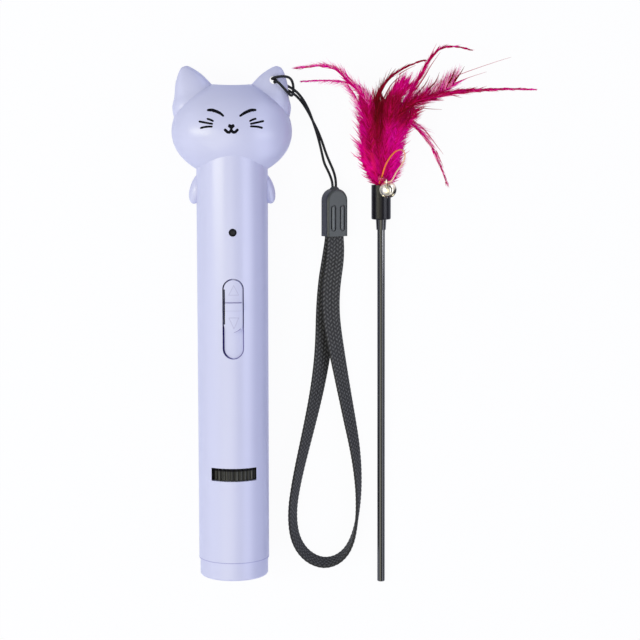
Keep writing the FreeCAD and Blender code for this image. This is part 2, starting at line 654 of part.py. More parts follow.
# Battery, board and what the board carries.
node("battery_cell", fuse(
    "battery_cell",
    rod("cell_can", "BatteryRadius", "BatteryPlace + Fit", "BatteryPlace + BatteryLength - 1",
        height="CellHeight"),
    rod("cell_button", "BatteryRadius / 3", "BatteryPlace + BatteryLength - 1",
        "BatteryPlace + BatteryLength - Fit", height="CellHeight"),
))
node("main_board", block(
    "main_board", "BoardWidth", "BoardStart", "BoardStart + BoardLength", "FrameTop", "BoardTop",
))
SWITCH_MIDDLE = f"({STEM_PLACE} - ButtonTravel / 2)"
SWITCH_TOP = f"(BoardTop + SwitchHeight)"
LEVER_TOP = f"({SWITCH_TOP} + SwitchHeight * 2 / 3)"
node("slide_switch", cut(
    "slide_switch",
    block("switch_can", "SwitchWidth", f"{SWITCH_MIDDLE} - SwitchLength / 2",
          f"{SWITCH_MIDDLE} + SwitchLength / 2", "BoardTop", SWITCH_TOP),
    block("switch_channel", "LeverWidth + 2 * Fit",
          f"{STEM_PLACE} - ButtonTravel - LeverLength / 2 - ButtonGap",
          f"{STEM_PLACE} + LeverLength / 2 + ButtonGap", f"BoardTop + 1", f"{SWITCH_TOP} + 1"),
))
node("switch_lever", block(
    "switch_lever", "LeverWidth", f"{STEM_PLACE} - LeverLength / 2", f"{STEM_PLACE} + LeverLength / 2",
    f"BoardTop + 1 + Fit", LEVER_TOP,
))
USB_MOUTH = "(BodyRadius - UsbSetback)"
node("usb_socket", cut(
    "usb_socket",
    block("usb_can", "UsbDepth", "UsbPlace - UsbWidth / 2", "UsbPlace + UsbWidth / 2",
          "FrameTop - UsbHeight", "FrameTop", side=f"{USB_MOUTH} - UsbDepth / 2"),
    block("usb_hollow", "UsbDepth", "UsbPlace - UsbWidth / 2 + 3 * Fit", "UsbPlace + UsbWidth / 2 - 3 * Fit",
          "FrameTop - UsbHeight + 3 * Fit", "FrameTop - 3 * Fit", side=USB_MOUTH),
))
LED_TIP = "(BodyRadius - Fit)"
led_lens = [
    solid("Cylinder", "led_barrel", ("0", "LedPlace", f"{LED_TIP} - LedLength"), Radius="LedRadius",
          Height="LedLength - LedRadius"),
    solid("Sphere", "led_dome", ("0", "LedPlace", f"{LED_TIP} - LedRadius"), Radius="LedRadius"),
]
led_legs = [
    block(f"led_leg_{label}", "LedRadius / 3", "LedPlace - LedRadius / 6", "LedPlace + LedRadius / 6",
          "BoardTop", f"{LED_TIP} - LedLength", side=f"{sign} LedRadius / 2")
    for label, sign in (("left", "-"), ("right", ""))
]
node("indicator_led", fuse("indicator_led", *led_lens, *led_legs))

# Switch button: a cap that follows the body, with a finger rib and a stem over the switch lever.
button_plan = stadium(
    "button_plan", BUTTON_MIDDLE, "ButtonLength", "SlotWidth - 2 * ButtonGap", "BodyRadius / 2",
    "BodyRadius + 2 * RibProud",
)
button_skin = cut(
    "button_skin", common(
        "button_top", button_plan,
        rod("button_crown", "BodyRadius + ButtonProud", "SlotCentre - SlotLength", "SlotCentre + SlotLength"),
    ),
    rod("button_under", f"{SLOT_FLOOR} + 2 * Fit", "SlotCentre - SlotLength", "SlotCentre + SlotLength"),
)
rib_blank = rod(
    "rib_blank", "BodyRadius + RibProud", f"{BUTTON_MIDDLE} - RibThickness / 2",
    f"{BUTTON_MIDDLE} + RibThickness / 2",
)
finger_rib = common(
    "finger_rib", rib_blank,
    block("rib_width", "SlotWidth - 2 * ButtonGap", f"{BUTTON_MIDDLE} - RibThickness",
          f"{BUTTON_MIDDLE} + RibThickness", f"{SLOT_FLOOR} + 2 * Fit", "BodyRadius + 2 * RibProud"),
)
stem = cut(
    "stem",
    block("stem_solid", "StemWidth", f"{STEM_PLACE} - StemLength / 2", f"{STEM_PLACE} + StemLength / 2",
          f"{SWITCH_TOP} + 3 * Fit", f"{SLOT_FLOOR} + 3 * Fit"),
    block("stem_fork", "LeverWidth + 2 * Fit", f"{STEM_PLACE} - LeverLength / 2 - Fit",
          f"{STEM_PLACE} + LeverLength / 2 + Fit", SWITCH_TOP, f"{LEVER_TOP} + Fit"),
)
node("switch_button", fuse("switch_button", button_skin, finger_rib, stem))


# Pattern wheel: a ribbed rim, a web with the picture holes and a hub, as one turned and patterned body.
def origin_part(body, role):
    return [part for part in body.Origin.OriginFeatures if part.Role == role][0]


def disc_sketch(body, name, radius, height="0", away="0"):
    """A circle across the body's own axis, at a height along it and a distance from it."""
    sketch = body.newObject("Sketcher::SketchObject", name)
    sketch.AttachmentSupport = [(origin_part(body, "XY_Plane"), "")]
    sketch.MapMode = "FlatFace"
    sketch.setExpression("AttachmentOffset.Base.z", link(height))
    sketch.addGeometry(Part.Circle(Vector(1, 0, 0), Vector(0, 0, 1), 1), False)
    sketch.addConstraint(Sketcher.Constraint("Radius", 0, 1))
    sketch.setExpression("Constraints[0]", link(radius))
    sketch.addConstraint(Sketcher.Constraint("PointOnObject", 0, 3, -1))
    sketch.addConstraint(Sketcher.Constraint("DistanceX", -1, 1, 0, 3, 0.0))
    sketch.setExpression("Constraints[2]", link(away))
    return sketch


def swept(body, kind, name, sketch, length, upward=True):
    """A pad or pocket of a sketch; a pocket's own direction is down, so an upward one is reversed."""
    made = body.newObject(f"PartDesign::{kind}", name)
    made.Profile = sketch
    made.setExpression("Length", link(length))
    made.Reversed = upward == (kind == "Pocket")
    return made


def round_pattern(body, name, original, count):
    turns = body.newObject("PartDesign::PolarPattern", name)
    turns.Originals = [original]
    turns.Axis = (origin_part(body, "Z_Axis"), [""])
    turns.Angle = 360
    turns.setExpression("Occurrences", link(count))
    body.Tip = turns


RIB_CENTRE = "(WheelRadius - WheelRibRadius)"
RIM_INSIDE = f"({RIB_CENTRE} - WheelRim)"
WEB_LOW = "((WheelWidth - WheelWeb) / 2)"
WEB_HIGH = "((WheelWidth + WheelWeb) / 2)"
PATTERN_CIRCLE = "(WheelHeight + OpticDrop)"
wheel = doc.addObject("PartDesign::Body", "pattern_wheel")
swept(wheel, "Pad", "rim", disc_sketch(wheel, "rim_plan", RIB_CENTRE), "WheelWidth")
rib_plan = disc_sketch(wheel, "rib_plan", "WheelRibRadius", away=RIB_CENTRE)
round_pattern(wheel, "ribs", swept(wheel, "Pad", "rib", rib_plan, "WheelWidth"), "WheelRibs")
swept(wheel, "Pocket", "high_recess", disc_sketch(wheel, "high_recess_plan", RIM_INSIDE, WEB_HIGH),
      "WheelWidth")
swept(wheel, "Pocket", "low_recess", disc_sketch(wheel, "low_recess_plan", RIM_INSIDE, WEB_LOW),
      "WheelWidth", upward=False)
swept(wheel, "Pad", "hub", disc_sketch(wheel, "hub_plan", "HubRadius"), "WheelWidth")
hole_plan = disc_sketch(wheel, "picture_hole_plan", "PatternRadius", away=PATTERN_CIRCLE)
round_pattern(
    wheel, "picture_holes", swept(wheel, "Pocket", "picture_hole", hole_plan, "WheelWidth"), "PatternCount"
)
swept(wheel, "Pocket", "bore", disc_sketch(wheel, "bore_plan", "SpindleRadius + Running"), "WheelWidth")
node("pattern_wheel", place(wheel, ("0", WHEEL_LOW, "WheelHeight"), TO_Y))
node("pattern_film", cut(
    "pattern_film",
    rod("film_disc", f"{RIM_INSIDE} - Fit", f"{WHEEL_LOW} + {WEB_HIGH}",
        f"{WHEEL_LOW} + {WEB_HIGH} + FilmThickness", height="WheelHeight"),
    rod("film_hole", "HubRadius + Fit", WHEEL_LOW, WHEEL_HIGH, height="WheelHeight"),
))
node("wheel_spindle", rod(
    "wheel_spindle", "SpindleRadius", f"{TUBE_HIGH} + 2 * Fit", f"{MODULE_LOW} - Fit", height="WheelHeight",
))


def strip(name, outline, low, high):
    """A flat outline in the plane of the table, raised between two heights."""
    corners = [Vector(x, y, low) for x, y in outline]
    face = Part.Face(Part.makePolygon(corners + corners[:1]))
    return feature(name, face.extrude(Vector(0, 0, high - low)))


plate_face = size("WheelPlace") + size("WheelWidth") / 2 + size("PlateGap")
spring_face = size("WheelPlace") + size("WheelWidth") / 2 + 2.5 * size("Fit")
spring_foot, spring_leaf = size("SpringFoot"), size("SpringThickness")
spring_tip = spring_foot + size("SpringReach")
spring_outline = [
    (spring_foot, plate_face), (spring_foot + 5 * spring_leaf, plate_face),
    (spring_tip - 1.7 * spring_leaf, spring_face + spring_leaf), (spring_tip, spring_face + spring_leaf),
    (spring_tip, spring_face), (spring_tip - 2 * spring_leaf, spring_face),
    (spring_foot + 4.7 * spring_leaf, plate_face - spring_leaf), (spring_foot, plate_face - spring_leaf),
]
node("detent_spring", strip(
    "detent_spring", spring_outline, size("WheelHeight") - size("SpringWidth") / 2,
    size("WheelHeight") + size("SpringWidth") / 2,
))

# Socket for the wand's rod, between the ears.
node("wand_socket", cut(
    "wand_socket",
    fuse(
        "socket_solid", rod("socket_stem", "SocketRadius", SOCKET_LOW, DISH_FLOOR),
        rod("socket_flange", "SocketFlange", f"{DISH_FLOOR} - SocketFlangeHeight", DISH_FLOOR),
    ),
    rod("socket_bore", "SocketBore", f"{DISH_FLOOR} - SocketDepth", f"{DISH_FLOOR} + 1"),
))

# Case screws, driven from the back.
node("shell_screws", fuse("shell_screws", *[
    cut(
        f"screw_{label}",
        fuse(
            f"screw_{label}_solid",
            solid("Cylinder", f"screw_{label}_shank", ("0", at, SCREW_SEAT), Radius="ScrewRadius",
                  Height="ScrewLength"),
            solid("Cylinder", f"screw_{label}_head", ("0", at, f"{SCREW_SEAT} - ScrewHeadHeight"),
                  Radius="ScrewHead", Height="ScrewHeadHeight"),
        ),
        *[
            solid("Box", f"screw_{label}_cross_{turn}",
                  (f"-{long} / 2", f"{at} - {wide} / 2", f"{SCREW_SEAT} - ScrewHeadHeight"),
                  Length=long, Width=wide, Height="ScrewHeadHeight / 2")
            for turn, long, wide in (("across", "ScrewHead", "ScrewHead / 4"), ("along", "ScrewHead / 4",
                                                                              "ScrewHead"))
        ],
    )
    for label, at in SCREWS
]))


# Routes: straight runs joined by tangent arcs, each as large as its two runs allow.
ARC_SHARE = 0.45


def runs_and_arcs(points):
    edges, radii, start = [], [], points[0]
    for before, corner, after in zip(points, points[1:], points[2:]):
        back, ahead = before - corner, after - corner
        trim = ARC_SHARE * min(back.Length, ahead.Length)
        turn = math.pi - back.getAngle(ahead)
        back.normalize()
        ahead.normalize()
        radius = trim / math.tan(turn / 2)
        inward = (back + ahead).normalize()
        middle = corner + inward * (radius / math.cos(turn / 2) - radius)
        first, last = corner + back * trim, corner + ahead * trim
        edges.append(Part.LineSegment(start, first).toShape())
        edges.append(Part.Arc(first, middle, last).toShape())
        radii.append(radius)
        start = last
    edges.append(Part.LineSegment(start, points[-1]).toShape())
    return Part.Wire(edges), radii


def tube(name, points, diameter):
    """A round cord along its route; its volume has to be its section times its length."""
    wire, radii = runs_and_arcs([Vector(*point) for point in points])
    along = wire.Edges[0].tangentAt(wire.Edges[0].FirstParameter)
    ring = Part.Wire(Part.makeCircle(diameter / 2, Vector(*points[0]), along))
    pipe = wire.makePipeShell([ring], True, False)
    share = pipe.Volume / (math.pi * (diameter / 2) ** 2 * wire.Length)
    print(f"{name}: length {wire.Length:.1f}, tightest arc {min(radii):.2f}, volume share {share:.3f}")
    return pipe


# Leads: from the emitter board and from the cell, over the low edge of the main board.
LEAD_DIAMETER = size("LeadDiameter")
board_face = size("BoardTop") + LEAD_DIAMETER / 2
emitter_face = plate_face + size("PlateThickness") + size("ModuleLength") + size("EmitterThickness")
cell_face = size("CellHeight") + math.sqrt(
    size("BatteryRadius") ** 2 - (size("LeadSide") - LEAD_DIAMETER / 2) ** 2
)


def emitter_lead(side):
    """Out of the emitter board, apart to pass beside the cell, and up over the main board's edge."""
    near, wide = side * size("LeadSide"), side * size("LeadSpread")
    ahead = size("BoardStart") - emitter_face
    height = size("OpticDrop") / 2
    return [
        (near, emitter_face, -height), (near, emitter_face + 0.2 * ahead, -height),
        (wide, emitter_face + 0.4 * ahead, -height / 3), (wide, emitter_face + 0.65 * ahead, board_face / 3),
        (wide, emitter_face + 0.9 * ahead, board_face + LEAD_DIAMETER / 2),
        (wide, emitter_face + 1.15 * ahead, board_face),
    ]


def battery_lead(side):
    """Up from the cell's low end and over the main board's edge."""
    near, edge = side * size("LeadSide"), size("BoardStart")
    foot = (size("BatteryPlace") + edge) / 2
    return [
        (near, foot, cell_face), (near, foot, board_face - 1.4 * LEAD_DIAMETER),
        (near, foot + LEAD_DIAMETER, board_face + LEAD_DIAMETER / 3),
        (near, edge + 1.3 * LEAD_DIAMETER, board_face), (near, edge + 3.3 * LEAD_DIAMETER, board_face),
    ]


def pair(name, route):
    tubes = [tube(f"{name} {label}", route(side), LEAD_DIAMETER) for label, side in (("a", -1), ("b", 1))]
    return node(name, feature(name, Part.makeCompound(tubes)))


pair("emitter_leads", emitter_lead)
pair("battery_leads", battery_lead)


# Strap cord: one length, hitched through the right ear, with both ends in the ferrule. The two
# strands lie on the table, rise to the ear, pass behind it and come forward through the hole; their
# bight crosses over them beside the ear.
STRAP_CORD = [
    (38.77, 145.7, -9.03), (38.75, 150.3, -9.06), (38.0, 153.0, -10.2), (36.9, 155.6, -11.7),
    (35.6, 158.2, -12.6), (34.7, 162.4, -12.9), (33.7, 166.6, -12.7), (32.5, 170.6, -11.9),
    (31.1, 174.4, -10.4), (29.5, 177.9, -9.1), (27.7, 181.0, -7.4), (25.7, 183.5, -5.7),
    (23.4, 185.6, -4.6), (20.8, 187.4, -4.4), (18.3, 189.2, -4.4), (15.9, 190.2, -4.1),
    (15.25, 190.15, -2.2), (15.25, 190.15, 0.4), (15.3, 190.2, 2.9), (16.2, 190.5, 4.6),
    (18.2, 190.9, 4.4), (20.5, 190.9, 2.8), (22.4, 190.0, 1.0), (23.7, 188.2, -1.0),
    (24.4, 186.0, -2.2), (24.0, 184.0, -2.2), (23.0, 183.2, 0.2), (21.2, 184.6, 3.4),
    (19.0, 187.0, 5.3), (17.1, 189.0, 5.2), (16.1, 189.1, 3.0), (16.15, 189.05, 0.4),
    (16.15, 189.05, -2.2), (16.5, 188.7, -4.5), (18.4, 187.3, -5.4), (20.8, 185.9, -5.5),
    (23.2, 184.1, -5.9), (25.3, 182.0, -7.2), (27.5, 179.5, -8.9), (29.4, 176.8, -10.7),
    (31.4, 174.0, -12.2), (33.2, 170.6, -12.9), (34.9, 166.4, -12.95), (36.3, 162.0, -12.9),
    (37.9, 158.2, -12.5), (39.1, 155.4, -11.5), (39.8, 152.9, -10.6), (40.04, 150.3, -9.68),
    (40.03, 145.7, -9.63),
]
node("strap_cord", feature(
    "strap_cord", tube("strap_cord", STRAP_CORD, size("CordDiameter"))
))

# Ferrule: a moulded clasp with an arched top, two oval grips, a collar round the cords and a mouth for
# the webbing. It lies rolled on one rounded edge.
FERRULE_TURN = Rotation(Vector(0, 1, 0), size("FerruleRoll"))
FERRULE_HEIGHT = (
    "(-BodyRadius + FerruleRound + (FerruleWidth / 2 - FerruleRound) * sin(FerruleRoll)"
    " + (FerruleThickness / 2 - FerruleRound) * cos(FerruleRoll))"
)
FERRULE_ARCH = "(FerruleLength - FerruleWidth / 2)"
ferrule_plan = fuse(
    "ferrule_plan",
    block("ferrule_block", "FerruleWidth", "0", FERRULE_ARCH, "-FerruleThickness / 2", "FerruleThickness / 2"),
    solid("Cylinder", "ferrule_arch", ("0", FERRULE_ARCH, "-FerruleThickness / 2"),
          Radius="FerruleWidth / 2", Height="FerruleThickness"),
)
ferrule_plan.Refine = True
doc.recompute()


def is_rim(edge):
    """Whether an edge runs round a flat side of the ferrule, and not along its low end."""
    flat = abs(edge.BoundBox.ZLength) < 1e-6
    return flat and edge.BoundBox.YMax > 1e-6


ferrule_body = rounded(
    "ferrule_body", ferrule_plan,
    [number for number, edge in enumerate(ferrule_plan.Shape.Edges, 1) if is_rim(edge)],
    size("FerruleRound"),
)
FERRULE_FACE = "FerruleThickness / 2"
GRIPS = [
    cut(
        f"grip_{label}",
        stadium(f"grip_{label}_outside", "GripPlace", "GripLength", "GripWidth",
                f"{FERRULE_FACE} - GripLine", f"{FERRULE_FACE} + 1", side=f"{sign} GripSide"),
        stadium(f"grip_{label}_pad", "GripPlace", "GripLength - 2 * GripLine", "GripWidth - 2 * GripLine",
                "0", FERRULE_FACE, side=f"{sign} GripSide"),
    )
    for label, sign in (("left", "-"), ("right", ""))
]
CORD_HOLES = [
    rod(f"cord_hole_{label}", "CordDiameter / 2 + Fit", "FerruleLength - 3 * CordDiameter",
        "FerruleLength + 2 * FerruleNub", side=f"{sign} 0.7 * CordDiameter")
    for label, sign in (("left", "-"), ("right", ""))
]
cord_collar = solid(
    "Ellipsoid", "cord_collar", ("0", "FerruleLength - FerruleNub / 2", "0"),
    Radius1="1.5 * CordDiameter", Radius2="2 * CordDiameter", Radius3="1.5 * FerruleNub",
)
node("strap_ferrule", place(
    cut(
        "strap_ferrule", fuse("ferrule_with_collar", ferrule_body, cord_collar), *GRIPS, *CORD_HOLES,
        block("ferrule_mouth", "WebWidth + 4 * Fit", "-1", "FerruleMouthDepth", "-FerruleMouth / 2",
              "FerruleMouth / 2"),
    ),
    ("FerruleSide", "FerrulePlace", FERRULE_HEIGHT), FERRULE_TURN,
))

# Wrist webbing: one flat band from the ferrule's mouth round and back. Each point gives the side, the
# place along the body, the lift of the band's low edge off the table, and the roll of its width: 0 is
# flat with its inner edge towards the loop, 90 stands on edge and 180 is flat the other way up.
WEBBING = [
    (39.72, 134.4, 2.74, 25), (39.75, 129.4, 2.65, 24.5), (39.9, 124.4, 1.8, 15), (39.5, 119.0, 1.6, 9),
    (38.6, 113.0, 1.5, 9), (38.1, 106.6, 1.5, 13), (38.2, 99.6, 1.5, 18), (39.1, 92.4, 1.5, 24),
    (40.5, 84.6, 1.2, 31), (42.1, 76.0, 0.5, 38), (43.8, 67.0, 0.15, 44), (45.6, 57.6, 0.1, 49),
    (47.4, 48.2, 0.1, 56), (48.6, 39.0, 0.1, 64), (49.1, 30.4, 0.1, 72), (48.9, 22.6, 0.1, 79),
    (48.1, 15.6, 0.1, 86), (46.6, 9.6, 0.1, 92), (44.2, 5.0, 0.1, 97), (40.4, 1.8, 0.1, 103),
    (35.4, 0.7, 0.1, 109), (30.6, 2.4, 0.1, 113), (26.8, 5.8, 0.1, 115), (24.2, 10.6, 0.1, 116),
    (23.1, 16.6, 0.1, 116), (23.1, 23.6, 0.1, 117), (24.2, 31.0, 0.1, 119), (25.8, 39.0, 0.1, 122),
    (27.8, 47.6, 0.1, 126), (29.9, 56.6, 0.1, 131), (31.9, 65.6, 0.1, 137), (33.6, 74.6, 0.1, 145),
    (34.9, 83.4, 0.1, 154), (35.6, 91.8, 0.1, 163), (35.9, 99.8, 0.1, 170), (36.4, 107.2, 0.1, 174),
    (37.1, 113.8, 0.1, 175), (38.0, 119.4, 0.15, 172), (38.6, 124.4, 0.5, 164), (39.05, 129.4, 1.3, 155.5),
    (39.08, 134.4, 1.38, 155),
]


def band(name, stations, width, thickness):
    """A flat band on the table: rectangles along its route, turned by its roll, joined by flat faces."""
    points, rolls = [], []
    for side, along, lift, roll in stations:
        lean = math.radians(roll)
        half_height = width / 2 * abs(math.sin(lean)) + thickness / 2 * abs(math.cos(lean))
        points.append(Vector(side, along, -size("BodyRadius") + lift + half_height))
        rolls.append(roll)
    wire, radii = runs_and_arcs(points)
    reached = [0.0]
    for first, second in zip(points, points[1:]):
        reached.append(reached[-1] + (second - first).Length)
    sections, travelled = [], 0.0
    corners_length = reached[-1]
    for edge in wire.OrderedEdges:
        arc = not isinstance(edge.Curve, Part.Line)
        for share in ((0.5,) if arc else (0.0, 1.0)):
            parameter = edge.FirstParameter + share * (edge.LastParameter - edge.FirstParameter)
            centre = edge.valueAt(parameter)
            ahead = edge.tangentAt(parameter)
            place_along = (travelled + share * edge.Length) / wire.Length * corners_length
            sections.append((centre, ahead, interpolated(place_along, reached, rolls)))
        travelled += edge.Length
    rings = []
    for centre, ahead, roll in sections:
        inward = Vector(0, 0, 1).cross(ahead) * -1
        inward.normalize()
        up = ahead.cross(inward) * -1
        lean = math.radians(roll)
        across = inward * math.cos(lean) + up * math.sin(lean)
        through = ahead.cross(across)
        corners = [
            centre + across * (a * width / 2) + through * (b * thickness / 2)
            for a, b in ((1, 1), (1, -1), (-1, -1), (-1, 1))
        ]
        rings.append(Part.makePolygon(corners + corners[:1]))
    print(f"{name}: length {wire.Length:.1f}, tightest arc {min(radii):.2f}")
    return Part.makeLoft(rings, True, True)


def interpolated(at, places, values):
    for low, high, first, second in zip(places, places[1:], values, values[1:]):
        if at <= high:
            return first + (second - first) * (at - low) / (high - low)
    return values[-1]


node("strap_webbing", feature(
    "strap_webbing", band("strap_webbing", WEBBING, size("WebWidth"), size("WebThickness"))
))

# Wand: rod, collar, sleeve and feathers along one axis, lying on the rod's end and the sleeve.
SLEEVE_LOW = "(CollarPlace + CollarLength + Fit)"
SLEEVE_HIGH = f"({SLEEVE_LOW} + SleeveLength)"
sleeve_low = size("CollarPlace") + size("CollarLength") + size("Fit")
sleeve_high = sleeve_low + size("SleeveLength")
wand_tilt = math.atan2(size("SleeveRadius") - size("RodRadius"), sleeve_low)
WAND_TURN = Rotation(Vector(0, 0, 1), size("WandYaw")) * Rotation(Vector(1, 0, 0), math.degrees(wand_tilt))
WAND_AT = ("WandSide", "RodEnd", "-BodyRadius + RodRadius")


def wand_node(name, piece):
    return node(name, place(piece, WAND_AT, WAND_TURN))


def on_wand(name, shape):
    return wand_node(name, feature(name, shape))


rod_bar = rod("rod_bar", "RodRadius", "0", "CollarPlace - Fit")
sleeve_bar = rod("sleeve_bar", "SleeveRadius", SLEEVE_LOW, SLEEVE_HIGH)
doc.recompute()


wand_node("wand_rod", fuse(
    "wand_rod", rounded("rod_bar_chamfered", rod_bar, [low_rim(rod_bar)], size("RodChamfer"), "Chamfer"),
    rod("rod_tang", "RodTang", "CollarPlace - 2 * Fit", "RodLength"),
))
wand_node("wand_collar", cut(
    "wand_collar",
    solid("Cone", "collar_outside", ("0", "CollarPlace", "0"), TO_Y, Radius1="CollarRadius - CollarTaper",
          Radius2="CollarRadius", Height="CollarLength"),
    rod("collar_bore", "RodTang + Running / 2", "0", SLEEVE_LOW),
))
wand_node("wand_sleeve", cut(
    "wand_sleeve", rounded("sleeve_rounded", sleeve_bar, [low_rim(sleeve_bar)], size("SleeveRound")),
    rod("sleeve_bore", "RodTang + Running / 2", "0", f"{SLEEVE_HIGH} - SleeveMouthDepth - 1"),
    rod("sleeve_mouth", "SleeveMouth", f"{SLEEVE_HIGH} - SleeveMouthDepth", f"{SLEEVE_HIGH} + 1"),
))

# Feathers: a soft tuft that grows out of the sleeve, and plumes that stand out of it. A tuft ring gives
# its place above the sleeve's mouth, its side, its height, its half width and its half depth.
TUFT = [
    (-4.2, 0, 0, 2.0, 2.0), (0.2, 0, 0, 2.15, 2.15), (3, -0.2, 0.4, 5.2, 3.9), (7.5, -0.8, 1.0, 8.6, 4.9),
    (13, -0.8, 1.6, 10.4, 5.4), (19, 0.6, 2.2, 11.4, 5.9), (25, 2.0, 2.5, 10.0, 5.8), (31, 2.0, 2.5, 7.0, 4.6),
    (35, 1.6, 2.4, 3.4, 2.6), (37, 1.4, 2.4, 1.0, 0.8),
]
PLUMES = {
    "plume_far_left": [(-3, 28, 4.0, 1.2), (-9.5, 36.6, 5.2, 2.2), (-15.2, 42, 5.8, 2.4),
                       (-23, 45.1, 5.4, 1.8), (-32.5, 44.4, 4.0, 0.5)],
    "plume_left": [(-4, 28, 0.6, 1.2), (-9.0, 35.6, 0.8, 2.0), (-15.2, 38.9, 0.9, 1.8),
                   (-23, 39.7, 0.6, 1.3), (-30.4, 39.2, -0.2, 0.4)],
    "plume_short_left": [(-7, 24, 4.2, 1.0), (-10, 31, 4.6, 1.4), (-12.0, 35.4, 4.4, 1.0),
                         (-13.4, 38.2, 4.0, 0.3)],
    "plume_crown": [(-2.2, 24, 6.8, 2.6), (-1.8, 32, 7.4, 3.4), (1.2, 39.0, 8.0, 2.8),
                    (6.6, 43.4, 8.2, 1.8), (15.2, 46.8, 7.6, 0.4)],
    "plume_high_right": [(5, 26, 5.0, 1.6), (9.6, 35.0, 5.6, 2.6), (14.4, 44.0, 5.8, 2.6),
                         (20.4, 51.2, 5.4, 2.0), (26.4, 53.2, 4.8, 1.4), (33.5, 51.0, 3.8, 0.4)],
    "plume_striped": [(7, 26, 2.0, 1.6), (13.4, 31.6, 2.6, 2.4), (20.6, 35.6, 2.8, 2.4),
                      (27.0, 40.2, 2.6, 1.6), (30.5, 44.6, 2.0, 0.4)],
    "plume_right": [(8, 26, 4.6, 1.6), (16, 32.4, 5.0, 2.6), (25.7, 34.8, 5.0, 2.8),
                    (38, 36.2, 4.4, 2.2), (49, 36.4, 3.4, 1.4), (59.5, 36.2, 2.2, 0.4)],
    "plume_low_right": [(7, 23, 1.2, 1.6), (13.4, 20.6, 1.6, 2.4), (18.2, 16.4, 1.4, 2.4),
                        (21.2, 10.2, 0.6, 1.8), (25.4, 0.4, -0.8, 0.4)],
}
PLUME_THICKNESS = 0.7


def tuft():
    rings = []
    for along, side, height, wide, deep in TUFT:
        centre = Vector(side, sleeve_high + along, height)
        ellipse = Part.Ellipse(centre + Vector(wide, 0, 0), centre + Vector(0, 0, deep), centre) \
            if wide > deep else Part.Circle(centre, Vector(0, -1, 0), wide)
        rings.append(Part.Wire(ellipse.toShape()))
    return Part.makeLoft(rings, True, False)


def vane(stations):
    """A thin blade along its shaft, as wide as each station says."""
    points = [Vector(side, sleeve_high + along, height) for side, along, height, _ in stations]
    rings = []
    for number, (point, (_, _, _, half)) in enumerate(zip(points, stations)):
        ahead = points[min(number + 1, len(points) - 1)] - points[max(number - 1, 0)]
        across = Vector(0, 0, 1).cross(ahead).normalize() * half
        up = Vector(0, 0, PLUME_THICKNESS / 2)
        corners = [point + across, point + up, point - across, point - up]
        rings.append(Part.makePolygon(corners + corners[:1]))
    return Part.makeLoft(rings, True, True)


tuft_shape = tuft()
on_wand("feather_tuft", tuft_shape)
for plume_name, plume_stations in PLUMES.items():
    on_wand(plume_name, vane(plume_stations).cut(tuft_shape))

# Bell: a thin shell with a slot across its bottom, a wire eye through its crown and a loose pellet. It
# lies on the sleeve, tipped so that its eye points up and towards the feathers.
BELL_EYE_WAY = Vector(-0.2, 0.68, 0.7)
wand_at = Placement(
    Vector(size("WandSide"), size("RodEnd"), size("RodRadius") - size("BodyRadius")), WAND_TURN
)
bell_centre = wand_at.multVec(Vector(
    size("BellSide"), sleeve_high - size("BellDrop"),
    math.sqrt((size("SleeveRadius") + size("BellRadius") + size("BellGap")) ** 2 - size("BellSide") ** 2),
))
BELL_AT = Placement(bell_centre, Rotation(Vector(0, 0, 1), BELL_EYE_WAY))


def bell_node(name, piece):
    piece.Placement = BELL_AT
    return node(name, piece)


EYE_STEM = "(EyeWire + Running)"
CROWN_INSIDE = "(BellRadius - BellWall)"
EYE_CENTRE = "(BellRadius + EyeRadius + EyeWire)"
bell_node("bell_shell", cut(
    "bell_shell",
    solid("Sphere", "bell_outside", Radius="BellRadius"),
    solid("Sphere", "bell_inside", Radius="BellRadius - BellWall"),
    solid("Box", "bell_slot", ("-BellSlot / 2", "-1.1 * BellRadius", "-1.1 * BellRadius"),
          Length="BellSlot", Width="2.2 * BellRadius", Height="BellRadius"),
    *[
        solid("Cylinder", f"bell_hole_{label}", ("-BellRadius", f"{sign} BellRadius * 0.85", "-BellRadius * 0.1"),
              Rotation(Vector(0, 1, 0), 90), Radius="BellSlot * 0.75", Height="2 * BellRadius")
        for label, sign in (("low", "-"), ("high", ""))
    ],
    solid("Cylinder", "crown_hole", Radius=EYE_STEM, Height="2 * BellRadius"),
))
bell_node("bell_loop", fuse(
    "bell_loop",
    solid("Torus", "eye_ring", ("0", "0", EYE_CENTRE), Rotation(Vector(0, 1, 0), 90), Radius1="EyeRadius",
          Radius2="EyeWire"),
    solid("Cylinder", "eye_stem", ("0", "0", f"{CROWN_INSIDE} - EyeWire"), Radius="EyeWire",
          Height="BellWall + 2 * EyeWire"),
    solid("Cylinder", "eye_rivet", ("0", "0", f"{CROWN_INSIDE} - 2 * EyeWire"), Radius="2 * EyeWire",
          Height="EyeWire"),
))
pellet = solid("Sphere", "bell_pellet", Radius="PelletRadius")
pellet.Placement = Placement(
    bell_centre - Vector(0, 0, size("BellRadius") - size("BellWall") - size("PelletRadius") - size("Running")),
    Rotation(),
)
node("bell_pellet", pellet)

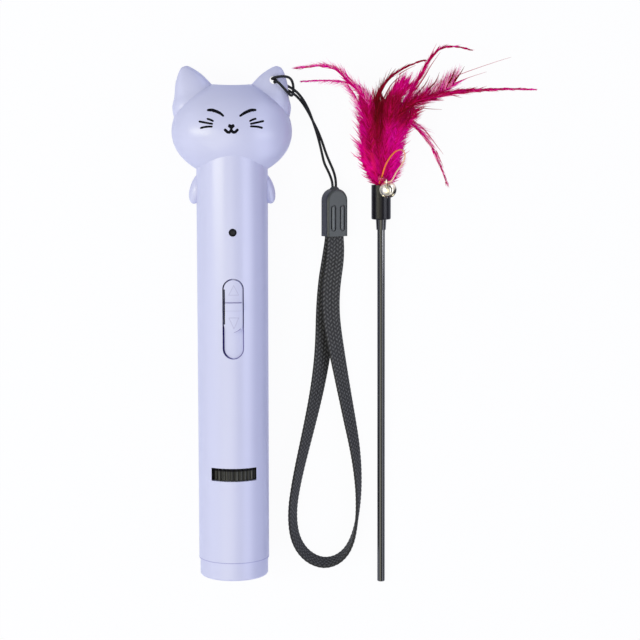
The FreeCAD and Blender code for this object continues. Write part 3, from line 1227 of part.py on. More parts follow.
# Thread: from the feathers above the sleeve's mouth through the bead, in a slack loop over the
# feathers, and back through the bell's eye to its knot.
bell_eye = BELL_AT.multVec(Vector(0, 0, size("BellRadius") + size("EyeRadius") + size("EyeWire")))
BEAD_AT = Vector(57.0, 152.6, -3.8)
BEAD_WAY = Vector(0.2, 0.9, 1.4).normalize()
THREAD = [
    (56.5, 150.5, -6.72), tuple(BEAD_AT - BEAD_WAY * 1.7), tuple(BEAD_AT + BEAD_WAY * 1.7),
    (58.0, 156.6, -1.8), (59.0, 159.0, -1.2), (60.6, 161.4, -1.4), (62.6, 163.2, -2.2),
    (64.9, 163.6, -3.2), (66.2, 162.0, -4.0), (65.9, 159.6, -3.9), (64.4, 157.2, -2.9),
    (62.6, 155.2, -1.2), (61.4, 153.0, 0.0), (60.5, 151.6, 0.4), tuple(bell_eye + Vector(0.9, 0, 0)),
    tuple(bell_eye - Vector(0.9, 0, 0)),
]
on_thread = feature("thread_loop", tube("thread_loop", THREAD, size("ThreadDiameter")))
node("thread_loop", on_thread)
bead = cut(
    "bead", solid("Sphere", "bead_ball", Radius="BeadRadius"),
    solid("Cylinder", "bead_bore", ("0", "0", "-2 * BeadRadius"), Radius="ThreadDiameter",
          Height="4 * BeadRadius"),
)
bead.Placement = Placement(BEAD_AT, Rotation(Vector(0, 0, 1), BEAD_WAY))
node("bead", bead)

doc.recompute()
failed = [
    item.Name for item in doc.Objects if "Invalid" in item.State or "Error" in item.State
]
failed += [piece.Label for piece in nodes if piece.Shape.isNull() or not piece.Shape.isValid()]
if failed:
    raise SystemExit(f"not built: {failed}")
os.makedirs("parts", exist_ok=True)
for piece in nodes:
    piece.Shape.exportStep(f"parts/{piece.Label}.step")
print(len(nodes), "nodes written")
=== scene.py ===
"""A cat light toy on a pale table: torch body with a cat's head, wrist strap and feather wand."""
import math

import bmesh
import bpy
import numpy as np
from mathutils import Matrix, Vector
from mathutils.bvhtree import BVHTree


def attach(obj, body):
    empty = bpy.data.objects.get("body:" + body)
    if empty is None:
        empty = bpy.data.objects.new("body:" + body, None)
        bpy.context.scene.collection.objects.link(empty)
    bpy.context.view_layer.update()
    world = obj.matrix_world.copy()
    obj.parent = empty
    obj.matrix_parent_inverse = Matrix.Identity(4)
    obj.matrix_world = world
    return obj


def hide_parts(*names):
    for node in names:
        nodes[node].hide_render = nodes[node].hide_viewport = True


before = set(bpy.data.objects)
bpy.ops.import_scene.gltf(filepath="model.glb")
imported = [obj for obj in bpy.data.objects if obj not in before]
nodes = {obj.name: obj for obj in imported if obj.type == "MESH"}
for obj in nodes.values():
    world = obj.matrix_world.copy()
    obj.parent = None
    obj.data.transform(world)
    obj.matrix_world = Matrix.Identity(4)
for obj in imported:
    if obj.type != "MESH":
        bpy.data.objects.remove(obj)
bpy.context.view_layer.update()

MM = 0.001
BODY_RADIUS = 13.5
TABLE = -BODY_RADIUS


def in_metres(point):
    """A point of the millimetres that this script is written in, for Blender."""
    return tuple(part * MM for part in point)


def add_object(name, data):
    made = bpy.data.objects.new(name, data)
    bpy.context.scene.collection.objects.link(made)
    return made


# ---------------------------------------------------------------- shader expressions


def srgb(red, green, blue):
    """A colour as it is seen, from 0 to 255, as Blender's linear colour."""
    def linear(part):
        share = part / 255
        return share / 12.92 if share <= 0.04045 else ((share + 0.055) / 1.055) ** 2.4
    return (linear(red), linear(green), linear(blue), 1.0)


class Shade:
    """A socket of a finish, on which Python's operators add maths nodes."""

    def __init__(self, finish, socket):
        self.finish = finish
        self.socket = socket

    def maths(self, operation, first, second=0.0):
        return self.finish.node("Math", {0: first, 1: second}, operation=operation)

    def __add__(self, other):
        return self.maths("ADD", self, other)

    def __radd__(self, other):
        return self.maths("ADD", other, self)

    def __sub__(self, other):
        return self.maths("SUBTRACT", self, other)

    def __rsub__(self, other):
        return self.maths("SUBTRACT", other, self)

    def __mul__(self, other):
        return self.maths("MULTIPLY", self, other)

    def __rmul__(self, other):
        return self.maths("MULTIPLY", other, self)

    def __pow__(self, other):
        return self.maths("POWER", self, other)

    def __abs__(self):
        return self.maths("ABSOLUTE", self)

    def sine(self):
        return self.maths("SINE", self)

    def rise(self, low, high):
        """0 below low, 1 above high, and smooth between them."""
        return self.finish.node(
            "MapRange", {0: self, 1: low, 2: high, 3: 0.0, 4: 1.0}, interpolation_type="SMOOTHSTEP"
        )


class Finish:
    """A material, or the world, written as expressions."""

    def __init__(self, name, kept=bpy.data.materials):
        self.material = kept.new(name)
        self.material.use_nodes = True
        self.tree = self.material.node_tree
        self.tree.nodes.clear()

    def node(self, kind, sockets=None, output=0, **settings):
        """One of a new node's outputs: its settings are made first, then its sockets' values and links."""
        made = self.tree.nodes.new("ShaderNode" + kind)
        for number, (place, colour) in enumerate(settings.pop("stops", [])):
            held = made.color_ramp.elements
            stop = held[number] if number < 2 else held.new(place)
            stop.position, stop.color = place, colour
        for name, value in settings.items():
            setattr(made, name, value)
        for key, value in (sockets or {}).items():
            if isinstance(value, Shade):
                self.tree.links.new(value.socket, made.inputs[key])
            else:
                made.inputs[key].default_value = value
        return Shade(self, made.outputs[output] if made.outputs else None)

    def place(self):
        return self.node("TexCoord", output="Object")

    def parts(self, vector):
        """A vector's shares across, along and up."""
        split = self.node("SeparateXYZ", {0: vector}).socket.node
        return [Shade(self, output) for output in split.outputs]

    def facing(self):
        """How far the surface faces right, along the body and up."""
        return self.parts(self.node("NewGeometry", output="Normal"))

    def noise(self, scale, detail=2.0, vector=None):
        return self.node("TexNoise", {"Vector": vector or self.place(), "Scale": scale, "Detail": detail})

    def value(self, attribute):
        """A number that the mesh holds at each corner."""
        return self.node("Attribute", output="Fac", attribute_name=attribute)

    def mix(self, share, first, second):
        return self.node("Mix", {0: share, 6: first, 7: second}, output=2, data_type="RGBA")

    def bump(self, height, depth, strength):
        """Relief from a height of 0 to 1, its depth in millimetres."""
        return self.node("Bump", {"Height": height, "Distance": depth * MM, "Strength": strength})

    def grain(self, depth):
        """The fine grain of a moulded surface."""
        return self.bump(self.noise(2600.0, 1.0), depth, 0.5)

    def surface(self, **sockets):
        names = {key.replace("_", " "): value for key, value in sockets.items()}
        shader = self.node("BsdfPrincipled", names)
        self.node("OutputMaterial", {"Surface": shader})
        return self.material


# ---------------------------------------------------------------- finishes

LILAC = srgb(199, 201, 233)
# How much darker a moulded colour is in its clouds.
CLOUD_DARKER = 0.03


def moulded(name, colour, roughness, grain=0.012, coat=0.0, gloss=0.5):
    """Moulded plastic: a fine grain, and a faint cloudiness in its gloss and colour."""
    finish = Finish(name)
    cloud = finish.noise(35.0, 3.0)
    dark = tuple(part * (1 - CLOUD_DARKER) for part in colour[:3]) + (1.0,)
    return finish.surface(
        Base_Color=finish.mix(cloud, dark, colour), Roughness=cloud * 0.08 + (roughness - 0.04),
        Normal=finish.grain(grain), Coat_Weight=coat, Coat_Roughness=0.12, Specular_IOR_Level=gloss,
    )


def metal(name, colour, roughness):
    """Metal with fine scratches."""
    finish = Finish(name)
    scratch = finish.noise(900.0, 4.0)
    return finish.surface(
        Base_Color=colour, Metallic=1.0, Roughness=scratch * 0.15 + (roughness - 0.07),
        Normal=finish.bump(scratch, 0.01, 0.4),
    )


def clear_plastic():
    finish = Finish("clear_plastic")
    return finish.surface(
        Base_Color=srgb(225, 232, 240), Roughness=0.06 + finish.noise(300.0) * 0.04, Alpha=0.35, IOR=1.49,
    )


def clasp_with_painted_shade():
    """Dark grey plastic with painted shade: its left side is darker and bluer than its front."""
    finish = Finish("ferrule_grey")
    # Painted shade: the more the surface faces left, the darker and bluer its colour.
    left = 0.0 - finish.facing()[0]
    cloud = finish.noise(60.0, 3.0)
    front = finish.mix(cloud, srgb(54, 58, 59), srgb(62, 66, 66))
    return finish.surface(
        Base_Color=finish.mix(left.rise(0.1, 0.75), front, srgb(34, 36, 48)), Roughness=cloud * 0.08 + 0.4,
        Normal=finish.grain(0.03),
    )


# Painted shade: the wheel is lit between these places in its window, in millimetres, and dims over its
# last stretch.
WHEEL_LIT_TOP, WHEEL_DIM_TOP = 42.7, 0.3
WHEEL_LIT_MIDDLE, WHEEL_LIT_HALF, WHEEL_DIM_SIDE = 0.5, 7.9, 0.4


def ribbed_black():
    """Black ribs with painted highlights in pale streaks, and painted shade next to the window's edges."""
    finish = Finish("wheel_black")
    position = finish.node("NewGeometry", output="Position")
    across, along = [part * (1 / MM) for part in finish.parts(position)[:2]]
    # Painted highlights: pale streaks at fixed places across the window.
    painted_highlight = finish.noise(1.3, 1.0, vector=finish.node("CombineXYZ", {0: across})).rise(0.5, 0.68)
    # Painted shade: black towards the window's top and sides.
    beside = abs(across - WHEEL_LIT_MIDDLE).rise(WHEEL_LIT_HALF - WHEEL_DIM_SIDE, WHEEL_LIT_HALF)
    deep = along.rise(WHEEL_LIT_TOP - WHEEL_DIM_TOP, WHEEL_LIT_TOP) + beside
    ribs = finish.mix(painted_highlight, srgb(34, 34, 31), srgb(92, 92, 86))
    return finish.surface(
        Base_Color=finish.mix(deep.rise(0.0, 1.0), ribs, srgb(0, 0, 6)), Roughness=0.5 + deep * 0.4,
        Specular_IOR_Level=0.3,
    )


def bell_plate():
    """Pale gold plate, painted dull and dark towards its lower right as painted shade."""
    finish = Finish("bell_gold")
    across, along, _ = finish.facing()
    # Painted shade: the more the surface faces the lower right, the darker its colour.
    painted_shade_side = across * 0.8 - along * 0.6
    scratch = finish.noise(500.0, 3.0)
    pale = finish.mix(scratch, srgb(255, 250, 232), srgb(238, 224, 190))
    return finish.surface(
        Base_Color=finish.mix(painted_shade_side.rise(0.36, 0.7), pale, srgb(22, 17, 10)), Metallic=1.0,
        Roughness=scratch * 0.2 + 0.24, Normal=finish.bump(scratch, 0.12, 0.5),
    )


casing = moulded("lilac_casing", LILAC, 0.29)
black_plastic = moulded("black_plastic", srgb(26, 26, 28), 0.42, 0.02)
white_plastic = moulded("white_plastic", srgb(222, 222, 218), 0.5)
printed_black = moulded("printed_black", srgb(4, 4, 8), 0.7, 0.004)
wheel_black = ribbed_black()
ferrule_grey = clasp_with_painted_shade()
grip_grey = moulded("grip_grey", srgb(92, 96, 98), 0.42, 0.03)
rod_black = moulded("rod_black", srgb(10, 11, 13), 0.14, 0.004, coat=0.75, gloss=0.4)
sleeve_black = moulded("sleeve_black", srgb(14, 12, 20), 0.3, 0.02, gloss=0.22)
board_green = moulded("board_green", srgb(24, 92, 52), 0.4)
lead_red = moulded("lead_red", srgb(150, 30, 30), 0.5)
film_grey = moulded("film_grey", srgb(60, 60, 66), 0.3)
clear = clear_plastic()
steel = metal("plated_steel", srgb(186, 188, 190), 0.28)
brass = metal("turned_brass", srgb(212, 178, 110), 0.3)
bell_gold = bell_plate()
bead_pink = moulded("bead_pink", srgb(190, 24, 84), 0.2, 0.002, coat=0.4)

CARRIED = {
    casing: ["front_shell", "rear_shell", "end_cap", "switch_button"],
    black_plastic: ["lens_tube", "lens_ring", "wand_socket", "switch_lever"],
    white_plastic: ["inner_frame"],
    wheel_black: ["pattern_wheel"],
    printed_black: ["indicator_led"],
    clear: ["lens_window", "projection_lens", "collimating_lens"],
    board_green: ["main_board", "emitter_board"],
    steel: ["battery_cell", "slide_switch", "usb_socket", "wheel_spindle", "detent_spring",
            "shell_screws", "bell_pellet"],
    brass: ["light_module"],
    film_grey: ["pattern_film"],
    lead_red: ["emitter_leads", "battery_leads"],
    ferrule_grey: ["strap_ferrule"],
    rod_black: ["wand_rod", "wand_collar"],
    sleeve_black: ["wand_sleeve"],
    bell_gold: ["bell_shell", "bell_loop"],
    bead_pink: ["bead"],
}
for finish, names in CARRIED.items():
    for name in names:
        nodes[name].data.materials.clear()
        nodes[name].data.materials.append(finish)

# ---------------------------------------------------------------- camera, floor and lights

# Where the camera stands and what it looks at.
CAMERA = Vector((-4.0, 172.18, 645.82)) * MM
TARGET = Vector((33.3, 98.6, 0.0)) * MM
LENS, SENSOR = 95.6, 36.0


def add_camera():
    back = (CAMERA - TARGET).normalized()
    right = Vector((0, 1, 0)).cross(back).normalized()
    up = back.cross(right)
    turn = Matrix((right, up, back)).transposed().to_4x4()
    data = bpy.data.cameras.new("camera")
    data.lens = LENS
    data.sensor_width = SENSOR
    data.sensor_fit = "HORIZONTAL"
    camera = add_object("camera", data)
    camera.matrix_world = Matrix.Translation(CAMERA) @ turn
    bpy.context.scene.camera = camera


def pale_floor():
    """A white surface that keeps a soft shadow and shows plain white to the camera."""
    finish = Finish("pale_floor")
    path = finish.node("LightPath", output="Is Camera Ray")
    glossy = finish.node("LightPath", output="Is Glossy Ray")
    lit = finish.node("BsdfDiffuse", {"Color": srgb(222, 227, 255)})
    plain = finish.node("Emission", {"Color": (1, 1, 1, 1), "Strength": 1.0})
    mixed = finish.node("MixShader", {0: path * 0.95 + glossy * 0.4, 1: lit, 2: plain})
    finish.node("OutputMaterial", {"Surface": mixed})
    return finish.material


FLOOR_HALF = 3000.0


def add_floor():
    mesh = bpy.data.meshes.new("floor")
    corners = [in_metres((side * FLOOR_HALF, along * FLOOR_HALF, TABLE))
               for side, along in ((-1, -1), (1, -1), (1, 1), (-1, 1))]
    mesh.from_pydata(corners, [], [(0, 1, 2, 3)])
    mesh.materials.append(pale_floor())
    floor = add_object("floor", mesh)


# The point that the lights are aimed at, and the place and size of each, in metres, its power and colour.
LIGHT_AIM = Vector((0.02, 0.1, 0.0))
LIGHTS = {
    "soft_left": ((-0.27, -0.17, 0.87), (0.5, 0.9), 2.85, (1.0, 0.97, 0.78)),
    "strip_left": ((-0.66, 0.17, 0.66), (0.1, 0.6), 2.75, (1.0, 0.98, 0.64)),
    "strip_right": ((0.75, 0.06, 0.62), (0.06, 0.6), 0.95, (0.96, 0.97, 1.05)),
}


def add_light(name, place, size, power, colour):
    data = bpy.data.lights.new(name, "AREA")
    data.shape = "RECTANGLE"
    data.size, data.size_y = size
    data.energy = power
    data.color = colour
    lamp = add_object(name, data)
    lamp.location = place
    lamp.rotation_euler = (Vector(place) - LIGHT_AIM).to_track_quat("Z", "Y").to_euler()


# What shiny surfaces see of the room: its own light, and the bands at its right and its left.
ROOM, RIGHT_BAND, LEFT_BAND = 0.3, 2.3, 1.2
ROOM_COLOUR = (0.92, 0.955, 1.1, 1.0)


def add_world():
    """Soft, faintly blue light, strongest from above, with a band on each side for shiny surfaces."""
    finish = Finish("studio", bpy.data.worlds)
    across, along, up = finish.parts(finish.node("TexCoord", output="Generated"))
    glossy = finish.node("LightPath", output="Is Glossy Ray")
    plain = 0.41 + up * 0.26 - across * 0.03 - along * 0.12
    right = across.rise(0.45, 0.57) - across.rise(0.76, 0.92)
    left = (0.0 - across).rise(0.6, 0.8)
    bands = right * RIGHT_BAND + left * LEFT_BAND + ROOM
    strength = plain + glossy * (bands - plain)
    ground = finish.node("Background", {"Color": ROOM_COLOUR, "Strength": strength})
    finish.node("OutputWorld", {"Surface": ground})
    bpy.context.scene.world = finish.material


add_camera()
add_floor()
add_world()
for name, light in LIGHTS.items():
    add_light(name, *light)
bpy.context.scene.view_settings.view_transform = "Standard"

# ---------------------------------------------------------------- meshes


def add_piece(name, mesh, finish, body, slot, *replaced):
    """A piece that rides on a body and may stand for nodes of the frame."""
    mesh.materials.clear()
    mesh.materials.append(finish)
    piece = add_object(name, mesh)
    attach(piece, body)
    if replaced:
        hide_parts(*replaced)
    return piece


def mesh_of(name, points, faces, **values):
    """A smooth mesh from points in millimetres, with a number at each point for each named value."""
    mesh = bpy.data.meshes.new(name)
    mesh.from_pydata([in_metres(point) for point in points], [], faces)
    mesh.update()
    mesh.shade_smooth()
    for key, numbers in values.items():
        layer = mesh.attributes.new(key, "FLOAT", "POINT")
        layer.data.foreach_set("value", np.asarray(numbers, np.float32))
    return mesh


def smooth_route(points, steps=12):
    """The points of a NURBS line of order 3 that runs by a cord's own points, in millimetres."""
    curve = bpy.data.curves.new("route", "CURVE")
    curve.dimensions = "3D"
    curve.resolution_u = steps
    line = curve.splines.new("NURBS")
    line.points.add(len(points) - 1)
    for place, point in zip(line.points, points):
        place.co = (*point, 1.0)
    line.order_u = 3
    line.use_endpoint_u = True
    holder = bpy.data.objects.new("route", curve)
    mesh = bpy.data.meshes.new_from_object(holder)
    found = [vertex.co.copy() for vertex in mesh.vertices]
    bpy.data.meshes.remove(mesh)
    bpy.data.objects.remove(holder)
    bpy.data.curves.remove(curve)
    return found


def lengths(path):
    """How far along the path each of its points lies."""
    reached = [0.0]
    for first, second in zip(path, path[1:]):
        reached.append(reached[-1] + (second - first).length)
    return reached


def resampled(path, step):
    """Points at an even distance along a path."""
    reached = lengths(path)
    count = max(2, round(reached[-1] / step) + 1)
    wanted = np.linspace(0, reached[-1], count)
    columns = [np.interp(wanted, reached, [point[axis] for point in path]) for axis in range(3)]
    return [Vector(point) for point in zip(*columns)]


def headings(path):
    """The way along the path at each of its points."""
    ways = []
    for number in range(len(path)):
        before, after = path[max(number - 1, 0)], path[min(number + 1, len(path) - 1)]
        ways.append((after - before).normalized())
    return ways


def untwisted(path):
    """A side and an up for each point of a path, carried along it without twist."""
    ways = headings(path)
    side = ways[0].orthogonal().normalized()
    frames = []
    for way in ways:
        side = (side - way * side.dot(way)).normalized()
        frames.append((side, way.cross(side)))
    return frames


def skin(rings, looped):
    """The faces over rings of points: the last ring joins the first, or both ends are capped."""
    count, size = len(rings), len(rings[0])
    faces = []
    for number in range(count if looped else count - 1):
        base, above = number * size, (number + 1) % count * size
        for corner in range(size):
            after = (corner + 1) % size
            faces.append((base + corner, base + after, above + after, above + corner))
    if not looped:
        faces.append(tuple(range(size))[::-1])
        faces.append(tuple(range((count - 1) * size, count * size)))
    return faces


def ring_mesh(name, rings, looped=False, **values):
    """A mesh over rings of points, with its values in the order of those points."""
    points = [point for ring in rings for point in ring]
    return mesh_of(name, points, skin(rings, looped), **values)


def full_turn(steps):
    """The angles of even steps round a circle."""
    return [2 * math.pi * step / steps for step in range(steps)]


def tube_mesh(name, path, radius, sides):
    """A round tube, with its run along the path and its turn round it at each point."""
    rings, run, turn = [], [], []
    for point, (side, up), place in zip(path, untwisted(path), lengths(path)):
        ring = []
        for angle in full_turn(sides):
            ring.append(point + (side * math.cos(angle) + up * math.sin(angle)) * radius)
            run.append(place)
            turn.append(angle)
        rings.append(ring)
    return ring_mesh(name, rings, run=run, turn=turn)


# ---------------------------------------------------------------- strap cord and thread

STRAP_CORD = [
    (38.77, 145.7, -9.03), (38.75, 150.3, -9.06), (38.0, 153.0, -10.2), (36.9, 155.6, -11.7),
    (35.6, 158.2, -12.6), (34.7, 162.4, -12.9), (33.7, 166.6, -12.7), (32.5, 170.6, -11.9),
    (31.1, 174.4, -10.4), (29.7, 178.1, -9.1), (28.0, 181.3, -7.4), (26.1, 184.0, -5.7),
    (23.7, 186.2, -4.6), (20.9, 187.7, -4.4), (18.3, 189.2, -4.4), (15.9, 190.2, -4.1),
    (15.25, 190.15, -2.2), (15.25, 190.15, 0.4), (15.3, 190.2, 2.9), (16.2, 190.5, 4.6),
    (18.3, 190.9, 4.4), (20.6, 190.9, 2.8), (22.2, 190.2, 1.0), (23.1, 188.6, -1.0),
    (23.4, 186.6, -2.2), (23.2, 184.5, -2.2), (22.5, 183.6, 0.2), (21.1, 184.8, 3.4),
    (19.0, 187.0, 5.3), (17.1, 189.0, 5.2), (16.1, 189.1, 3.0), (16.15, 189.05, 0.4),
    (16.15, 189.05, -2.2), (16.5, 188.7, -4.5), (18.4, 187.5, -5.4), (20.8, 186.3, -5.6),
    (23.5, 184.8, -6.1), (25.9, 182.7, -7.4), (28.0, 180.0, -9.1), (29.8, 177.1, -10.8),
    (31.4, 174.0, -12.2), (33.2, 170.6, -12.9), (34.9, 166.4, -12.95), (36.3, 162.0, -12.9),
    (37.9, 158.2, -12.5), (39.1, 155.4, -11.5), (39.8, 152.9, -10.6), (40.04, 150.3, -9.68),
    (40.03, 145.7, -9.63),
]
CORD_DIAMETER = 1.0


def braided(name, colour, light, pitch, strands):
    """Round braid: two families of threads that cross as they wind, with painted highlight where raised."""
    finish = Finish(name)
    run = finish.value("run") * (2 * math.pi / pitch)
    turn = finish.value("turn") * strands
    weave = (run + turn).sine() * (run - turn).sine()
    # Painted highlight: the raised parts of the threads are lighter.
    height = weave * 0.5 + 0.5
    return finish.surface(
        Base_Color=finish.mix(height, colour, light), Roughness=0.62 + height * 0.1,
        Normal=finish.bump(height, 0.05, 0.8), Specular_IOR_Level=0.25,
    )


def two_tone_thread_with_painted_light(length):
    """A twisted thread, orange turning to pale gold along its length, with painted light on its twist."""
    finish = Finish("thread_twist")
    run = finish.value("run")
    twist = (run * 12.0 + finish.value("turn")).sine() * 0.5 + 0.5
    pale = run.rise(length * 0.42, length * 0.62)
    # Painted highlight and shade: lit and shaded copies of the colour alternate along the twist.
    dark = finish.mix(pale, srgb(216, 70, 8), srgb(232, 150, 96))
    light = finish.mix(pale, srgb(255, 150, 50), srgb(255, 236, 214))
    return finish.surface(
        Base_Color=finish.mix(twist, dark, light), Roughness=0.45 + twist * 0.1,
        Normal=finish.bump(twist, 0.03, 0.6),
    )


def add_strap_cord():
    path = resampled(smooth_route(STRAP_CORD), step=0.35)
    mesh = tube_mesh("strap_cord_braid", path, CORD_DIAMETER / 2, sides=14)
    finish = braided("cord_braid", srgb(5, 6, 9), srgb(38, 40, 43), pitch=1.1, strands=4)
    piece = add_piece("strap_cord_braid", mesh, finish, "root", "cord", "strap_cord")
    in_metres(STRAP_CORD[0])
    lengths(path)[-1] * MM


# The bead's middle and half of the way through it, and the same for the bell's eye, where the thread ends.
BEAD, BEAD_HALF = Vector((57.0, 152.6, -3.8)), Vector((0.2, 0.9, 1.4)).normalized() * 1.7
BELL_EYE, BELL_EYE_HALF = Vector((58.592, 151.316, 0.581)), Vector((0.9, 0, 0))
THREAD = [
    (56.5, 150.5, -6.72), tuple(BEAD - BEAD_HALF), tuple(BEAD + BEAD_HALF), (58.0, 156.6, -1.8),
    (59.0, 159.0, -1.2), (60.6, 161.4, -1.4), (62.6, 163.2, -2.2), (64.9, 163.6, -3.2), (66.2, 162.0, -4.0),
    (65.9, 159.6, -3.9), (64.4, 157.2, -2.9), (62.6, 155.2, -1.2), (61.4, 153.0, 0.0), (60.5, 151.6, 0.4),
    tuple(BELL_EYE + BELL_EYE_HALF), tuple(BELL_EYE - BELL_EYE_HALF),
]
THREAD_DIAMETER = 0.6


def add_thread():
    path = resampled(smooth_route(THREAD), step=0.25)
    mesh = tube_mesh("gold_thread", path, THREAD_DIAMETER / 2, sides=10)
    finish = two_tone_thread_with_painted_light(lengths(path)[-1])
    piece = add_piece("gold_thread", mesh, finish, "wand", "thread", "thread_loop")
    in_metres(THREAD[0])
    lengths(path)[-1] * MM


add_strap_cord()
add_thread()

# ---------------------------------------------------------------- wrist webbing

WEB_WIDTH = 7.2
WEB_THICKNESS = 1.3
WEB_COLUMNS = 22
# The share of the thickness at the section's edges, and how tightly its corners are rounded.
WEB_EDGE, WEB_CORNER = 0.18, 14
# The weave: the width of a column of floats, their pitch, slant and depth.
WEAVE_COLUMN, WEAVE_PITCH, WEAVE_SLANT, WEAVE_DEPTH = 1.2, 1.7, 0.55, 0.16
# Each station gives the side, the place along the body, the lift off the table and the roll.
WEBBING = [
    (39.72, 134.4, 2.74, 25), (39.75, 129.4, 2.65, 24.5), (39.9, 124.4, 1.8, 15), (39.5, 119.0, 1.6, 9),
    (38.6, 113.0, 1.5, 9), (38.1, 106.6, 1.5, 13), (38.2, 99.6, 1.5, 18), (39.1, 92.4, 1.5, 24),
    (40.5, 84.6, 1.2, 31), (42.1, 76.0, 0.5, 38), (43.8, 67.0, 0.15, 44), (45.6, 57.6, 0.1, 49),
    (47.4, 48.2, 0.1, 56), (48.6, 39.0, 0.1, 64), (49.1, 30.4, 0.1, 72), (48.9, 22.6, 0.1, 79),
    (48.1, 15.6, 0.1, 86), (46.6, 9.6, 0.1, 92), (44.2, 5.0, 0.1, 97), (40.4, 1.8, 0.1, 103),
    (35.4, 0.7, 0.1, 109), (30.6, 2.4, 0.1, 113), (26.8, 5.8, 0.1, 115), (24.2, 10.6, 0.1, 116),
    (23.1, 16.6, 0.1, 116), (23.1, 23.6, 0.1, 117), (24.2, 31.0, 0.1, 119), (25.8, 39.0, 0.1, 122),
    (27.8, 47.6, 0.1, 126), (29.9, 56.6, 0.1, 131), (31.9, 65.6, 0.1, 137), (33.6, 74.6, 0.1, 145),
    (34.9, 83.4, 0.1, 154), (35.6, 91.8, 0.1, 163), (35.9, 99.8, 0.1, 170), (36.4, 107.2, 0.1, 174),
    (37.1, 113.8, 0.1, 175), (38.0, 119.4, 0.15, 172), (38.6, 124.4, 0.5, 164), (39.05, 129.4, 1.3, 155.5),
    (39.08, 134.4, 1.38, 155),
]


def herringbone(run, across):
    """The height of the weave, from 0 to 1: slanted floats whose slant changes in each column."""
    column = across / WEAVE_COLUMN
    odd = math.floor(column) % 2
    inside = column - math.floor(column)
    slant = WEAVE_SLANT if odd else -WEAVE_SLANT
    phase = run / WEAVE_PITCH + slant * (inside - 0.5) + 0.5 * odd
    rounded = (0.5 + 0.5 * math.cos(2 * math.pi * phase)) ** 0.8
    return rounded * math.sin(math.pi * inside) ** 0.5


def woven():
    """Black webbing whose raised floats have a painted grey highlight, with a fine slanted thread in them.
    """
    finish = Finish("woven_webbing")
    height = finish.value("height")
    thread = (finish.value("run") * 26.0 + finish.value("across") * 14.0).sine() * 0.5 + 0.5
    # Painted highlight: the raised floats are painted paler than the grooves.
    light = height ** 2.2 * (0.6 + thread * 0.4)
    return finish.surface(
        Base_Color=finish.mix(light, srgb(16, 16, 18), srgb(112, 112, 114)),
        Roughness=0.72 - light * 0.12, Normal=finish.bump(thread * height, 0.04, 0.6),
    )


def webbing_section():
    """The corners of the band's flat section, as shares of its half width and half thickness."""
    section = []
    for face in (1, -1):
        for column in range(WEB_COLUMNS + 1):
            across = (1 - 2 * column / WEB_COLUMNS) * face
            depth = math.sqrt(max(0.0, 1 - abs(across) ** WEB_CORNER)) * (1 - WEB_EDGE) + WEB_EDGE
            section.append((across, face * depth))
    return section


def webbing_centres():
    """The band's middle at each station, as high as its roll lifts it off the table."""
    points = []
    for side, along, lift, roll in WEBBING:
        lean = math.radians(roll)
        half = WEB_WIDTH / 2 * abs(math.sin(lean)) + WEB_THICKNESS / 2 * abs(math.cos(lean))
        points.append(Vector((side, along, TABLE + lift + half)))
    return points


def add_webbing():
    """The band: rings round a flat section, turned by the roll, with the weave raised on both faces."""
    centres = webbing_centres()
    path = resampled(smooth_route(centres, 16), step=0.3)
    reached = lengths(path)
    stations = lengths(centres)
    rolls = np.interp(np.array(reached) / reached[-1] * stations[-1], stations, [s[3] for s in WEBBING])
    section = webbing_section()
    rings, runs, sides, heights = [], [], [], []
    for point, way, place, roll in zip(path, headings(path), reached, rolls):
        inward = way.cross(Vector((0, 0, 1))).normalized()
        up = inward.cross(way)
        lean = math.radians(roll)
        wide = inward * math.cos(lean) + up * math.sin(lean)
        thick = way.cross(wide)
        ring = []
        for share, face in section:
            across = share * WEB_WIDTH / 2
            weave = herringbone(place, across)
            rise = WEB_THICKNESS / 2 - WEAVE_DEPTH * (1 - weave)
            ring.append(point + wide * across + thick * (face * rise))
            runs.append(place)
            sides.append(across)
            heights.append(weave)
        rings.append(ring)
    mesh = ring_mesh("strap_band", rings, run=runs, across=sides, height=heights)
    piece = add_piece("strap_band", mesh, woven(), "root", "webbing", "strap_webbing")
    in_metres(centres[0])


add_webbing()

# ---------------------------------------------------------------- printed face and marks, and painted shade lines


def middle_of(name):
    """The middle of a node, side and along, in millimetres."""
    corners = [Vector(corner) / MM for corner in nodes[name].bound_box]
    sides, alongs = [c.x for c in corners], [c.y for c in corners]
    return (min(sides) + max(sides)) / 2, (min(alongs) + max(alongs)) / 2


# A stroke's section: the share of its half width, and the lift off the surface.
INK_SECTION = ((-1.0, -0.04), (-0.85, 0.03), (0.0, 0.05), (0.85, 0.03), (1.0, -0.04))
